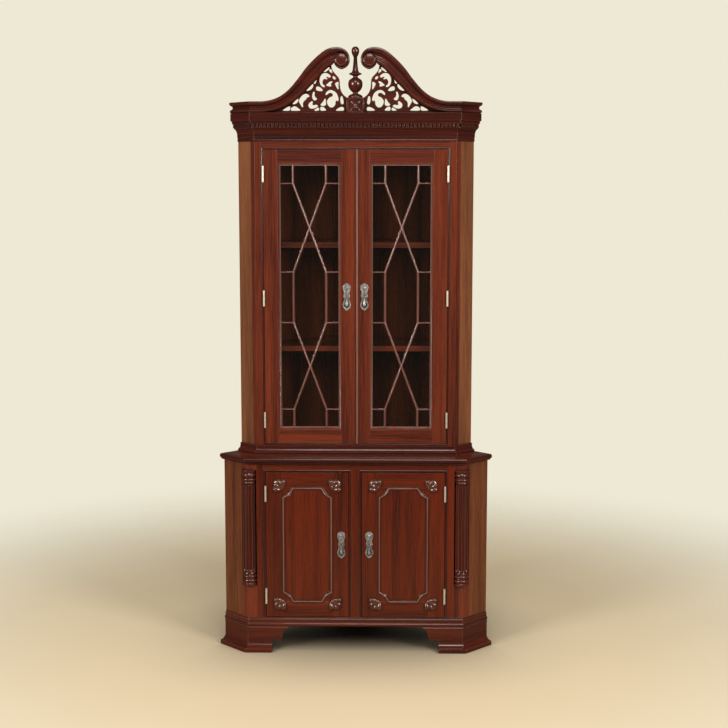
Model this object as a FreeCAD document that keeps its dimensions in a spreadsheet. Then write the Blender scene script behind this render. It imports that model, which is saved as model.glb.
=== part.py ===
import FreeCAD, Part
import math
import os
import Sketcher
from FreeCAD import Placement, Rotation, Vector

# Corner cabinet in two stacked cases, with a swan neck pediment.
# Millimetres. +Z is up, the front faces -Y and the cabinet is symmetric about x = 0.
# The origin is at floor level, midway between the front of the feet and the cut back corner.
# The two back walls stand at 45 degrees, and each return meets its wall squarely.

SIZES = {
    # plan of the two cases, from the door openings outwards
    "lower_open_half": 355,
    "lower_frame_stile": 26.5,
    "lower_return": 98.5,
    "upper_open_half": 360,
    "upper_frame_stile": 24.3,
    "upper_return": 68.7,
    "nose_cut": 30,
    # boards and clearances
    "board": 22,
    "frame_thick": 22,
    "side_thick": 20,
    "back_thick": 12,
    "door_thick": 22,
    "door_gap": 2.5,
    "shelf_thick": 20,
    "shelf_clear": 1.5,
    "bearer": 14,
    "post_reach": 45,
    "post_thick": 25,
    "overrun": 3,
    # feet
    "foot_height": 98,
    "foot_flare": 31,
    "foot_fillet": 16,
    "foot_cove": 18,
    "foot_face": 6,
    "foot_thick": 24,
    "foot_bead": 7,
    "foot_bead_drop": 3,
    "bracket_reach": 154.5,
    "rear_foot_reach": 100,
    "rear_foot_thick": 45,
    # base moulding
    "ledge": 40,
    "base_ledge": 13.5,
    "base_proud": 10,
    "base_nosing": 14,
    "base_band": 4,
    "base_scotia": 8,
    # lower case
    "lower_rail": 25,
    "centre_half": 16,
    "lower_bead": 8,
    "lower_post_depth": 60,
    "lower_shelf_rise": 280,
    "lower_setback": 70,
    # fluted corner columns, which with the blocks below and above set the lower case's height
    "column_foot": 127.5,
    "column_height": 457,
    "column_head": 26,
    "column_set": 14,
    "column_clear": 0.5,
    "ring_radius": 29,
    "shaft_radius": 25,
    "ring_height": 54,
    "flute_radius": 3.6,
    "flute_stop": 7,
    # top of the lower case
    "top_board": 22,
    "top_nosing": 22,
    "top_cove": 8,
    # upper case
    "waist_ledge": 9,
    "waist_proud": 19,
    "waist_fillet": 7,
    "waist_step": 6,
    "upper_bead": 6,
    "upper_post_depth": 34,
    "upper_opening": 1149.5,
    "upper_frieze": 105.5,
    "upper_setback": 48,
    "low_shelf_rise": 365,
    "high_shelf_rise": 767,
    # cornice, counted up from the bottom of the architrave
    "architrave_drop": 104,
    "architrave_bead": 5,
    "architrave_proud": 6,
    "architrave_face": 3,
    "architrave_height": 30,
    "cove_height": 20,
    "cove_proud": 20,
    "dentil_height": 15,
    "dentil_proud": 7,
    "dentil_back": 4,
    "fillet_height": 10,
    "fillet_proud": 30,
    "fascia_proud": 37,
    "crown_proud": 42,
    "crown_height": 42,
    "crown_back": 14,
    # pediment
    "neck_rise": 241,
    "neck_half": 400.5,
    "volute_radius": 33.5,
    "volute_top_radius": 51,
    "neck_low_radius": 190,
    "neck_high_radius": 130,
    "neck_under_radius": 260,
    "fret_thick": 6,
    "fret_lap": 10,
    "fret_hole": 15,
    "plinth_half": 33,
    "plinth_height": 56,
    "plinth_front": 34,
    "plinth_back": 20,
    "flower_half": 22,
    "flower_thick": 4,
    "finial_height": 190,
    "finial_radius": 28,
    # upper doors
    "upper_stile": 53,
    "upper_top_rail": 49,
    "upper_low_rail": 54,
    "sash_width": 11,
    "sash_depth": 12,
    "sash_set": 1,
    "sash_round": 6,
    "glass_thick": 3,
    "glass_clear": 0.3,
    "bar_width": 8,
    "bar_depth": 9,
    "bar_rim": 2,
    "end_pane": 68,
    "cross_pane": 338,
    "bar_reach": 63,
    "meeting_bead": 8,
    "meeting_proud": 4,
    # lower doors
    "lower_stile": 60,
    "trim_margin": 60,
    "trim_width": 13,
    "trim_proud": 6,
    "trim_notch_wide": 38,
    "trim_notch_high": 34,
    "trim_notch_radius": 74,
    "shell_radius": 44,
    "shell_thick": 9,
    "shell_inset": 73,
    # butt hinges
    "hinge_length": 57,
    "hinge_leaf": 1.2,
    "hinge_wide": 18,
    "hinge_out": 4.5,
    "knuckle_radius": 4,
    "pin_radius": 2,
    "pin_clear": 0.05,
    "knuckle_gap": 0.3,
    "pin_cap": 2,
    "upper_hinge_inset": 92,
    "lower_hinge_inset": 83.5,
    # drop pulls
    "plate_width": 31,
    "plate_height": 107,
    "plate_thick": 2,
    "boss_radius": 7,
    "boss_thick": 4,
    "pull_out": 6.5,
    "pull_pin": 1.2,
    "pull_clear": 0.1,
    "pull_eye": 3,
    "pull_eye_wide": 6,
    "lug_wide": 3,
    "lug_high": 7,
    "lug_gap": 0.4,
    "drop_length": 38,
    "drop_wide": 15,
    "drop_thick": 3,
    "upper_pull_place": 34,
    "upper_pull_rise": 518.5,
    "lower_pull_place": 54,
    "lower_pull_rise": 234,
    "lug_out": 9,
    # magnetic catches
    "catch_gap": 0.3,
    "catch_place": 32,
    "catch_wide": 30,
    "catch_deep": 12,
    "catch_drop": 18,
    "catch_rise": 14,
}

FLUTE_COUNT = 12
DENTIL_COUNT = 54
RETURN_DENTIL_COUNT = 7
LOBE_COUNT = 5

# slopes of the plan: the returns turn 45 degrees, so each mitre turns half of that
RETURN_TURN = 45
BACK_TURN = 135
MITRE = math.sqrt(2) - 1
DIAGONAL = math.sqrt(2)
HALF_SINE = math.sin(math.radians(22.5))
HALF_COSINE = math.cos(math.radians(22.5))

document = FreeCAD.newDocument("corner_cabinet")
sheet = document.addObject("Spreadsheet::Sheet", "Sizes")
for row, (alias, value) in enumerate(SIZES.items(), 1):
    sheet.set(f"A{row}", alias)
    sheet.set(f"B{row}", str(value))
    sheet.setAlias(f"B{row}", alias)
document.recompute()


class Length:
    """A length with its value and the expression that ties it to the sheet."""

    def __init__(self, value, text):
        self.value = float(value)
        self.text = text

    def __add__(self, other):
        other = length(other)
        return Length(self.value + other.value, f"({self.text} + {other.text})")

    def __radd__(self, other):
        return length(other) + self

    def __sub__(self, other):
        other = length(other)
        return Length(self.value - other.value, f"({self.text} - {other.text})")

    def __rsub__(self, other):
        return length(other) - self

    def __neg__(self):
        return Length(-self.value, f"(0 - {self.text})")

    def __mul__(self, factor):
        factor = length(factor)
        return Length(self.value * factor.value, f"({self.text} * {factor.text})")

    __rmul__ = __mul__

    def __truediv__(self, divisor):
        divisor = length(divisor)
        return Length(self.value / divisor.value, f"({self.text} / {divisor.text})")


def length(value):
    """A plain number as a Length, such as zero or a share."""
    if isinstance(value, Length):
        return value
    return Length(value, f"({float(value)!r})")


class Sheet:
    """Reads a named size as a Length."""

    def __getattr__(self, name):
        return Length(SIZES[name], f"Sizes.{name}")


S = Sheet()
ZERO = length(0)


# Sketches and simple solids

def bind(item, name, size):
    """Ties one property of an object to the sheet."""
    item.setExpression(name, size.text)


def place(item, x, y, z, turn=0, about=(0, 0, 1)):
    """Puts an object at a point, turned by some degrees about an axis."""
    base = Vector(length(x).value, length(y).value, length(z).value)
    item.Placement = Placement(base, Rotation(Vector(*about), turn))
    for name, size in (("x", x), ("y", y), ("z", z)):
        bind(item, f"Placement.Base.{name}", length(size))
    return item


def origin_feature(body, role):
    return next(item for item in body.Origin.OriginFeatures if item.Role == role)


def new_sketch(body, plane, offset):
    """A sketch on one of the body's own planes, moved along the plane's normal."""
    sketch = body.newObject("Sketcher::SketchObject", f"{body.Name}_sketch")
    sketch.AttachmentSupport = [(origin_feature(body, plane), "")]
    sketch.MapMode = "FlatFace"
    offset = length(offset)
    sketch.AttachmentOffset = Placement(Vector(0, 0, offset.value), Rotation())
    bind(sketch, "AttachmentOffset.Base.z", offset)
    return sketch


def fix(sketch, kind, target, size):
    """One dimension of a sketch, tied to the sheet."""
    number = sketch.addConstraint(Sketcher.Constraint(kind, *target, size.value))
    bind(sketch, f"Constraints[{number}]", size)


def arc_between(start, end, radius):
    """The short arc from start to end: anticlockwise where radius is positive."""
    chord = end - start
    half = chord.Length / 2
    rise = math.sqrt(max(radius * radius - half * half, 0))
    side = Vector(-chord.y, chord.x, 0).normalize() * math.copysign(rise, radius)
    centre = (start + end) * 0.5 + side
    first, last = (start, end) if radius > 0 else (end, start)
    from_angle = math.atan2(first.y - centre.y, first.x - centre.x)
    to_angle = math.atan2(last.y - centre.y, last.x - centre.x)
    if to_angle <= from_angle:
        to_angle += 2 * math.pi
    circle = Part.Circle(centre, Vector(0, 0, 1), abs(radius))
    return Part.ArcOfCircle(circle, from_angle, to_angle)


def draw(sketch, outline):
    """A closed outline. Each point is (a, b), or (a, b, radius) where an arc leaves it."""
    corners = [Vector(length(p[0]).value, length(p[1]).value, 0) for p in outline]
    ends = []
    for index, point in enumerate(outline):
        start = corners[index]
        end = corners[(index + 1) % len(corners)]
        if len(point) == 2:
            number = sketch.addGeometry(Part.LineSegment(start, end), False)
            ends.append((number, 1, 2))
        else:
            arc = arc_between(start, end, point[2].value)
            number = sketch.addGeometry(arc, False)
            ends.append((number, 1, 2) if point[2].value > 0 else (number, 2, 1))
    for index, (number, first, last) in enumerate(ends):
        following, start, finish = ends[(index + 1) % len(ends)]
        sketch.addConstraint(Sketcher.Constraint("Coincident", number, last, following, start))
    for (number, first, last), point in zip(ends, outline):
        fix(sketch, "DistanceX", (-1, 1, number, first), length(point[0]))
        fix(sketch, "DistanceY", (-1, 1, number, first), length(point[1]))
        if len(point) == 3:
            size = point[2] if point[2].value > 0 else -point[2]
            fix(sketch, "Radius", (number,), size)


def draw_circle(sketch, x, y, radius):
    x, y, radius = length(x), length(y), length(radius)
    circle = Part.Circle(Vector(x.value, y.value, 0), Vector(0, 0, 1), radius.value)
    number = sketch.addGeometry(circle, False)
    fix(sketch, "DistanceX", (-1, 1, number, 3), x)
    fix(sketch, "DistanceY", (-1, 1, number, 3), y)
    fix(sketch, "Radius", (number,), radius)


def new_body(name):
    return document.addObject("PartDesign::Body", name)


def add_pad(body, sketch, depth, both_ways=False):
    pad = body.newObject("PartDesign::Pad", f"{body.Name}_pad")
    pad.Profile = sketch
    if both_ways:
        pad.SideType = "Symmetric"
    pad.Length = depth.value
    bind(pad, "Length", depth)
    return pad


def add_cut(body, plane, outlines):
    """Cuts outlines on one plane right through the body."""
    sketch = new_sketch(body, plane, ZERO)
    for outline in outlines:
        draw(sketch, outline)
    pocket = body.newObject("PartDesign::Pocket", f"{body.Name}_cut")
    pocket.Profile = sketch
    pocket.SideType = "Symmetric"
    pocket.Type = "ThroughAll"
    return pocket


def prism(name, plane, outline, offset, depth, both_ways=False):
    """A body padded from one outline, which may be followed by holes."""
    body = new_body(name)
    sketch = new_sketch(body, plane, offset)
    outlines = outline if isinstance(outline[0], list) else [outline]
    for item in outlines:
        draw(sketch, item)
    add_pad(body, sketch, depth, both_ways)
    return body


def front_prism(name, outline, back, depth):
    """A body with its outline in x and z, from y = back towards the front."""
    return prism(name, "XZ_Plane", outline, -length(back), depth)


def turned(name, outline, x, y, z):
    """A body turned about a vertical axis from an outline in radius and height."""
    body = new_body(name)
    sketch = new_sketch(body, "XZ_Plane", ZERO)
    draw(sketch, outline)
    turning = body.newObject("PartDesign::Revolution", f"{name}_turning")
    turning.Profile = sketch
    turning.ReferenceAxis = (origin_feature(body, "Z_Axis"), [""])
    turning.Angle = 360
    return place(body, x, y, z)


def box(name, x, y, z, size_x, size_y, size_z, turn=0):
    block = document.addObject("Part::Box", name)
    for key, size in (("Length", size_x), ("Width", size_y), ("Height", size_z)):
        setattr(block, key, length(size).value)
        bind(block, key, length(size))
    return place(block, x, y, z, turn)


def mirrored(item):
    """The same piece on the other side of x = 0."""
    copy = document.addObject("Part::Mirroring", f"{item.Name}_mirrored")
    copy.Source = item
    copy.Normal = Vector(1, 0, 0)
    return copy


def both(item):
    return [item, mirrored(item)]


NODES = []


def node(name, pieces):
    """A named sub-part: one piece, or a group of separate pieces."""
    if len(pieces) == 1:
        item = pieces[0]
    else:
        item = document.addObject("Part::Compound", f"{name}_group")
        item.Links = pieces
    item.Label = name
    NODES.append(item)
    return item


# Plan of a case

# the notch that holds a column: its reach along both faces, and its depth from them
notch_reach = S.column_set * HALF_SINE + S.ring_radius + S.column_clear
notch_depth = (S.column_set + S.ring_radius + S.column_clear
               - notch_reach * HALF_SINE) / HALF_COSINE
LOWER_HALF = S.lower_open_half + S.lower_frame_stile + notch_reach + S.lower_return
UPPER_HALF = S.upper_open_half + S.upper_frame_stile + S.upper_return
REAR = (LOWER_HALF + S.lower_return + S.foot_flare + S.nose_cut) / 2


class Case:
    """Plan of one case. An offset p is measured outwards from its faces."""

    def __init__(self, half, side):
        self.half = half
        self.side = side
        self.corner = half - side
        self.face = REAR - half - side

    def front(self, p):
        p = length(p)
        return self.corner + p * MITRE, self.face - p

    def wall_end(self, p, inset):
        shift = (length(p) - length(inset)) / DIAGONAL
        drop = (length(p) + length(inset)) / DIAGONAL
        return self.half + shift, REAR - self.half - drop

    def nose(self, cut, inset):
        return cut - length(inset) * DIAGONAL, REAR - cut

    def footprint(self, p):
        right = [self.front(p), self.wall_end(p, ZERO), self.nose(S.nose_cut, ZERO)]
        return symmetric(right)

    def shelf(self, setback):
        """A shelf's outline, clear of posts, returns and backs."""
        inset = S.back_thick + S.shelf_clear
        gap = S.side_thick + S.shelf_clear
        cut = S.post_reach + S.post_thick / DIAGONAL + S.shelf_clear
        start = (self.corner + setback - gap * DIAGONAL, self.face + setback)
        return symmetric([start, self.wall_end(-gap, inset), self.nose(cut, inset)])

    def post(self, reach, depth):
        """A corner post: reach along both faces from the corner, and its depth."""
        return [
            (self.corner - reach, self.face),
            (self.corner, self.face),
            (self.corner + reach / DIAGONAL, self.face + reach / DIAGONAL),
            (self.corner + (reach - depth) / DIAGONAL, self.face + (reach + depth) / DIAGONAL),
            (self.corner - reach, self.face + depth),
        ]

    def side_length(self):
        return self.side * DIAGONAL


def symmetric(right):
    """The right half of an outline, from front to back, closed on the left."""
    left = [(-x, y) for x, y in reversed(right)]
    return right + left


lower = Case(LOWER_HALF, S.lower_return)
upper = Case(UPPER_HALF, S.upper_return)

# Levels
BASE_TOP = S.foot_height + S.base_ledge
LOWER_FLOOR = BASE_TOP + S.board
COLUMN_FOOT = LOWER_FLOOR + S.column_foot
LOWER_TOP = COLUMN_FOOT + S.column_height + S.column_head
WAIST = LOWER_TOP + S.top_board
UPPER_BASE = WAIST + S.waist_ledge
UPPER_FLOOR = UPPER_BASE + S.board
UPPER_OPEN_TOP = UPPER_FLOOR + S.upper_opening
UPPER_TOP = UPPER_OPEN_TOP + S.upper_frieze
CROWN = UPPER_TOP + S.board
ARCHITRAVE = CROWN - S.architrave_drop


def facing(profile, face):
    """A profile of (offset outwards, height), turned to face -Y from a face."""
    return [(face - item[0], item[1], *(-radius for radius in item[2:])) for item in profile]


def strip(name, profile, half_run, inner, outer, case):
    """A straight front moulding, mitred where it meets the returns."""
    body = new_body(name)
    sketch = new_sketch(body, "YZ_Plane", ZERO)
    draw(sketch, facing(profile, case.face))
    add_pad(body, sketch, half_run * 2, both_ways=True)
    near = inner - S.overrun
    far = outer + S.overrun
    end = half_run + S.overrun
    waste = [
        case.front(near),
        case.front(far),
        (end, case.face - far),
        (end, case.face - near),
    ]
    other = [(-x, y) for x, y in reversed(waste)]
    add_cut(body, "XY_Plane", [waste, other])
    return body


def return_strip(name, profile, inner, outer, case):
    """The same moulding along the right return, mitred at the corner and square at the wall."""
    body = new_body(name)
    reach = outer * MITRE + S.overrun
    sketch = new_sketch(body, "YZ_Plane", -reach)
    draw(sketch, facing(profile, ZERO))
    add_pad(body, sketch, case.side_length() + reach)
    near = inner - S.overrun
    far = outer + S.overrun
    waste = [
        (-near * MITRE, -near),
        (-reach - S.overrun, -near),
        (-reach - S.overrun, -far),
        (-far * MITRE, -far),
    ]
    add_cut(body, "XY_Plane", [waste])
    return place(body, case.corner, case.face, ZERO, RETURN_TURN)


def moulding(name, profile, inner, outer, case):
    """A moulding round the front and both returns, in three mitred lengths."""
    half_run = case.front(outer)[0]
    front = strip(f"{name}_front", profile, half_run, inner, outer, case)
    side = return_strip(f"{name}_return", profile, inner, outer, case)
    return node(name, [front, side, mirrored(side)])


def edge_frame(name, left, right, bottom, top, section, width, sides):
    """Strips inside a rectangle of x and z. The section is in (distance inwards, y)."""
    over = S.overrun
    pieces = []
    for side in sides:
        body = new_body(f"{name}_{side}")
        if side in ("left", "right"):
            edge, way = (left, 1) if side == "left" else (right, -1)
            sketch = new_sketch(body, "XY_Plane", bottom)
            draw(sketch, [(edge + item[0] * way, *turned_arc(item, way)) for item in section])
            add_pad(body, sketch, top - bottom)
            cuts = []
            for level, rise, other in ((bottom, 1, "bottom"), (top, -1, "top")):
                if other in sides:
                    cuts.append([
                        (edge - over * way, level - over * rise),
                        (edge + (width + over) * way, level - over * rise),
                        (edge + (width + over) * way, level + (width + over) * rise),
                    ])
        else:
            edge, way = (bottom, 1) if side == "bottom" else (top, -1)
            sketch = new_sketch(body, "YZ_Plane", left)
            outline = [(item[1], edge + item[0] * way, *item[2:]) for item in flipped(section, way)]
            draw(sketch, outline)
            add_pad(body, sketch, right - left)
            cuts = []
            for level, rise in ((left, 1), (right, -1)):
                cuts.append([
                    (level - over * rise, edge - over * way),
                    (level - over * rise, edge + (width + over) * way),
                    (level + (width + over) * rise, edge + (width + over) * way),
                ])
        add_cut(body, "XZ_Plane", cuts)
        pieces.append(body)
    return pieces


def turned_arc(item, way):
    """The rest of a section point, its arc turned where the section is mirrored."""
    if len(item) == 2:
        return (item[1],)
    return (item[1], item[2] * way)


def flipped(section, way):
    """A section whose axes are swapped, so that its arcs turn the other way."""
    return [item if len(item) == 2 else (item[0], item[1], item[2] * (-way))
            for item in section]


# Feet and base moulding

FOOT_PROFILE = [
    (S.foot_face - S.foot_thick, ZERO),
    (S.foot_flare, ZERO),
    (S.foot_flare, S.foot_fillet),
    (S.foot_flare - S.foot_bead_drop, S.foot_fillet, -(S.foot_flare - S.foot_face)),
    (S.foot_face, S.foot_fillet + S.foot_cove),
    (S.foot_face, S.foot_height - S.foot_bead_drop - S.foot_bead, S.foot_bead * 0.6),
    (S.foot_face, S.foot_height - S.foot_bead_drop),
    (S.foot_face, S.foot_height),
    (S.foot_face - S.foot_thick, S.foot_height),
]

# the bracket's cut-out, in shares of the bracket's reach and of the foot's height
BRACKET_SHARES = [
    (0.592, 0.34),
    (0.735, 0.43),
    (0.775, 0.38),
    (0.862, 0.72),
    (1.0, 0.97),
]


def front_foot():
    """The right front foot: a cut bracket along the front and a plain one along the return."""
    outer = S.foot_flare
    inner = S.foot_face - S.foot_thick
    end = lower.front(outer)[0] + S.overrun
    start = lower.corner - S.bracket_reach
    body = new_body("foot_front")
    sketch = new_sketch(body, "YZ_Plane", start)
    draw(sketch, facing(FOOT_PROFILE, lower.face))
    add_pad(body, sketch, end - start)
    near = inner - S.overrun
    far = outer + S.overrun
    add_cut(body, "XY_Plane", [[
        lower.front(near),
        lower.front(far),
        (end + S.overrun, lower.face - far),
        (end + S.overrun, lower.face - near),
    ]])
    points = [(lower.corner - S.bracket_reach * a, S.foot_height * b) for a, b in BRACKET_SHARES]
    toe, notch, spur, wing, tip = points
    add_cut(body, "XZ_Plane", [[
        (toe[0], -S.overrun),
        (*toe, S.bracket_reach * 0.078),
        notch,
        (*spur, S.bracket_reach * -0.3),
        (*wing, S.bracket_reach * 0.25),
        tip,
        (start - S.overrun, tip[1]),
        (start - S.overrun, -S.overrun),
    ]])
    side = return_strip("foot_return", FOOT_PROFILE, inner, outer, lower)
    return [body, side]


front_pieces = front_foot()
node("foot_right", front_pieces)
node("foot_left", [mirrored(piece) for piece in front_pieces])

rear_shift = S.rear_foot_thick / DIAGONAL
rear_outline = symmetric([
    (S.rear_foot_reach - rear_shift, REAR - S.rear_foot_reach - rear_shift),
    (S.rear_foot_reach, REAR - S.rear_foot_reach),
    (S.nose_cut, REAR - S.nose_cut),
])
node("rear_foot", [prism("rear_block", "XY_Plane", rear_outline, ZERO, BASE_TOP)])

nose_back = S.base_nosing * 0.4
base_profile = [
    (-S.ledge, S.foot_height),
    (S.base_proud - nose_back, S.foot_height, S.base_nosing * 0.55),
    (S.base_proud - nose_back, S.foot_height + S.base_nosing),
    (S.base_band, S.foot_height + S.base_nosing),
    (S.base_band, LOWER_FLOOR - S.base_scotia, -S.base_scotia * 0.8),
    (S.base_band / 4, LOWER_FLOOR),
    (ZERO, LOWER_FLOOR),
    (ZERO, BASE_TOP),
    (-S.ledge, BASE_TOP),
]

moulding("base_moulding", base_profile, -S.ledge, S.base_proud, lower)


# Lower case

def case_boards(prefix, case, floor, top, post_reach_front):
    """Returns, backs and back post between the floor board and the top board."""
    height = top - floor
    side = box(
        f"{prefix}_side",
        case.corner + post_reach_front / DIAGONAL,
        case.face + post_reach_front / DIAGONAL,
        floor,
        case.side_length() - post_reach_front,
        S.side_thick,
        height,
        RETURN_TURN,
    )
    node(f"{prefix}_sides", both(side))
    back = box(
        f"{prefix}_back_board",
        case.half - S.side_thick / DIAGONAL,
        REAR - case.half + S.side_thick / DIAGONAL,
        floor,
        (case.half - S.post_reach) * DIAGONAL - S.side_thick,
        S.back_thick,
        height,
        BACK_TURN,
    )
    shift = S.post_thick / DIAGONAL
    outline = symmetric([
        (S.post_reach - shift, REAR - S.post_reach - shift),
        (S.post_reach, REAR - S.post_reach),
        (S.nose_cut, REAR - S.nose_cut),
    ])
    post = prism(f"{prefix}_back_post", "XY_Plane", outline, floor, height)
    node(f"{prefix}_back", [back, mirrored(back), post])


def shelf_and_bearers(prefix, case, setback, bottoms):
    """Shelves on battens fixed to the returns and the backs."""
    shelves = []
    bearers = []
    for number, bottom in enumerate(bottoms, 1):
        shelf = prism(f"{prefix}_shelf_{number}", "XY_Plane", case.shelf(setback),
                      bottom, S.shelf_thick)
        shelves.append(shelf)
        gap = S.side_thick * DIAGONAL
        side = box(
            f"{prefix}_side_bearer_{number}",
            case.corner + setback - gap,
            case.face + setback,
            bottom - S.bearer,
            case.side_length() - setback * DIAGONAL + S.side_thick
            - S.back_thick - S.bearer,
            S.bearer,
            S.bearer,
            RETURN_TURN,
        )
        start = S.side_thick + S.back_thick
        back = box(
            f"{prefix}_back_bearer_{number}",
            case.half - (S.side_thick + S.back_thick) / DIAGONAL,
            REAR - case.half + (S.side_thick - S.back_thick) / DIAGONAL,
            bottom - S.bearer,
            (case.half - S.post_reach) * DIAGONAL - start - S.post_thick,
            S.bearer,
            S.bearer,
            BACK_TURN,
        )
        bearers += both(side) + both(back)
    return shelves, bearers


node("lower_floor", [prism("lower_bottom", "XY_Plane", lower.footprint(ZERO), BASE_TOP, S.board)])


def lower_post():
    """The right corner post, cut away at the corner for the column."""
    body = prism("lower_post", "XY_Plane", lower.post(notch_reach, S.lower_post_depth),
                 LOWER_FLOOR, LOWER_TOP - LOWER_FLOOR)
    over = S.overrun
    reach = notch_reach / DIAGONAL
    sketch = new_sketch(body, "XY_Plane", COLUMN_FOOT + S.column_height)
    draw(sketch, [
        (lower.corner - notch_reach - over, lower.face - over),
        (lower.corner + over, lower.face - over),
        (lower.corner + reach + over, lower.face + reach - over),
        (lower.corner + reach - notch_depth / DIAGONAL,
         lower.face + reach + notch_depth / DIAGONAL),
        (lower.corner - notch_reach, lower.face + notch_depth),
        (lower.corner - notch_reach - over, lower.face + notch_depth),
    ])
    notch = body.newObject("PartDesign::Pocket", "lower_post_notch")
    notch.Profile = sketch
    notch.Length = S.column_height.value
    bind(notch, "Length", S.column_height)
    return body


node("lower_corner_posts", both(lower_post()))
case_boards("lower", lower, LOWER_FLOOR, LOWER_TOP, notch_reach)

# turned rings at a column's foot, in shares of the ring radius and of the ring height
RING_SHARES = [(1.0, 0.16), (0.9, 0.22), (0.97, 0.34), (0.97, 0.5), (0.86, 0.6), (0.92, 0.78)]


def column():
    """The right corner column: turned rings at both ends and a fluted shaft."""
    ring = [(S.ring_radius * a, S.ring_height * b) for a, b in RING_SHARES]
    low = [(ZERO, ZERO), (S.ring_radius, ZERO)] + ring
    low += [(S.shaft_radius, S.ring_height)]
    high = [(r, S.column_height - z) for r, z in reversed(low)]
    body = turned(
        "corner_column",
        low + high,
        lower.corner - S.column_set * HALF_SINE,
        lower.face + S.column_set * HALF_COSINE,
        COLUMN_FOOT,
    )
    top = S.column_height - S.ring_height - S.flute_stop
    sketch = new_sketch(body, "XY_Plane", top)
    draw_circle(sketch, ZERO, -S.shaft_radius - S.flute_radius * 0.35, S.flute_radius)
    flute = body.newObject("PartDesign::Pocket", "flute")
    flute.Profile = sketch
    depth = S.column_height - (S.ring_height + S.flute_stop) * 2
    flute.Length = depth.value
    bind(flute, "Length", depth)
    pattern = body.newObject("PartDesign::PolarPattern", "flutes")
    pattern.Originals = [flute]
    pattern.Axis = (origin_feature(body, "Z_Axis"), [""])
    pattern.Angle = 360
    pattern.Occurrences = FLUTE_COUNT
    body.Tip = pattern
    return body


right_column = column()
node("column_right", [right_column])
node("column_left", [mirrored(right_column)])

open_height = LOWER_TOP - S.lower_rail - LOWER_FLOOR
stile = box("lower_stile", S.lower_open_half, lower.face, LOWER_FLOOR,
            S.lower_frame_stile, S.frame_thick, LOWER_TOP - LOWER_FLOOR)
rail = box("lower_rail", -S.lower_open_half, lower.face, LOWER_TOP - S.lower_rail,
           S.lower_open_half * 2, S.frame_thick, S.lower_rail)
muntin = box("lower_centre_stile", -S.centre_half, lower.face, LOWER_FLOOR,
             S.centre_half * 2, S.frame_thick, open_height)
node("lower_face_frame", both(stile) + [rail, muntin])


def bead_section(case, width):
    """A bead with a quirk on its outer side. It stays level with the face."""
    quirk = width / 5
    front = case.face + quirk
    back = case.face + S.frame_thick
    return [
        (ZERO, front + quirk),
        (quirk, front + quirk),
        (quirk, front, (width - quirk) * 0.75),
        (width, front),
        (width, back),
        (ZERO, back),
    ]


lower_beads = edge_frame(
    "lower_bead", S.centre_half, S.lower_open_half, LOWER_FLOOR, LOWER_FLOOR + open_height,
    bead_section(lower, S.lower_bead), S.lower_bead, ("left", "right", "top"))
node("lower_opening_beads", lower_beads + [mirrored(bead) for bead in lower_beads])
low_shelves, low_bearers = shelf_and_bearers("lower", lower, S.lower_setback,
                                             [LOWER_FLOOR + S.lower_shelf_rise])
node("lower_shelf", low_shelves)

# Top of the lower case
node("waist_board", [prism("waist_top", "XY_Plane", lower.footprint(ZERO), LOWER_TOP,
                           S.top_board)])
nosing_profile = [
    (ZERO, LOWER_TOP),
    (S.top_nosing - S.top_cove, LOWER_TOP),
    (S.top_nosing - S.top_cove, LOWER_TOP + S.top_board / 4),
    (S.top_nosing - S.top_cove / 2, LOWER_TOP + S.top_board / 4, S.top_board * 0.45),
    (S.top_nosing - S.top_cove / 2, WAIST),
    (ZERO, WAIST),
]
moulding("waist_nosing", nosing_profile, ZERO, S.top_nosing, lower)

# Upper case
waist_profile = [
    (-S.ledge, WAIST),
    (S.waist_proud, WAIST),
    (S.waist_proud, WAIST + S.waist_fillet),
    (S.waist_proud - S.waist_step / 2, WAIST + S.waist_fillet, -S.waist_proud),
    (S.waist_step, UPPER_FLOOR - S.waist_step),
    (S.waist_step, UPPER_FLOOR),
    (ZERO, UPPER_FLOOR),
    (ZERO, UPPER_BASE),
    (-S.ledge, UPPER_BASE),
]
moulding("waist_moulding", waist_profile, -S.ledge, S.waist_proud, upper)
node("upper_floor", [prism("upper_bottom", "XY_Plane", upper.footprint(ZERO), UPPER_BASE,
                           S.board)])
upper_post = prism("upper_post", "XY_Plane",
                   upper.post(S.upper_frame_stile, S.upper_post_depth),
                   UPPER_FLOOR, UPPER_TOP - UPPER_FLOOR)
node("upper_corner_posts", both(upper_post))
case_boards("upper", upper, UPPER_FLOOR, UPPER_TOP, S.upper_frame_stile)
node("upper_top_rail", [box("frieze_rail", -S.upper_open_half, upper.face, UPPER_OPEN_TOP,
                            S.upper_open_half * 2, S.frame_thick, S.upper_frieze)])
node("upper_opening_beads", edge_frame(
    "upper_bead", -S.upper_open_half, S.upper_open_half, UPPER_FLOOR, UPPER_OPEN_TOP,
    bead_section(upper, S.upper_bead), S.upper_bead, ("left", "right", "bottom", "top")))
high_shelves, high_bearers = shelf_and_bearers(
    "upper", upper, S.upper_setback,
    [UPPER_FLOOR + S.low_shelf_rise, UPPER_FLOOR + S.high_shelf_rise])
node("upper_shelves", high_shelves)
node("shelf_bearers", low_bearers + high_bearers)
node("upper_top", [prism("upper_lid", "XY_Plane", upper.footprint(ZERO), UPPER_TOP, S.board)])

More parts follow.
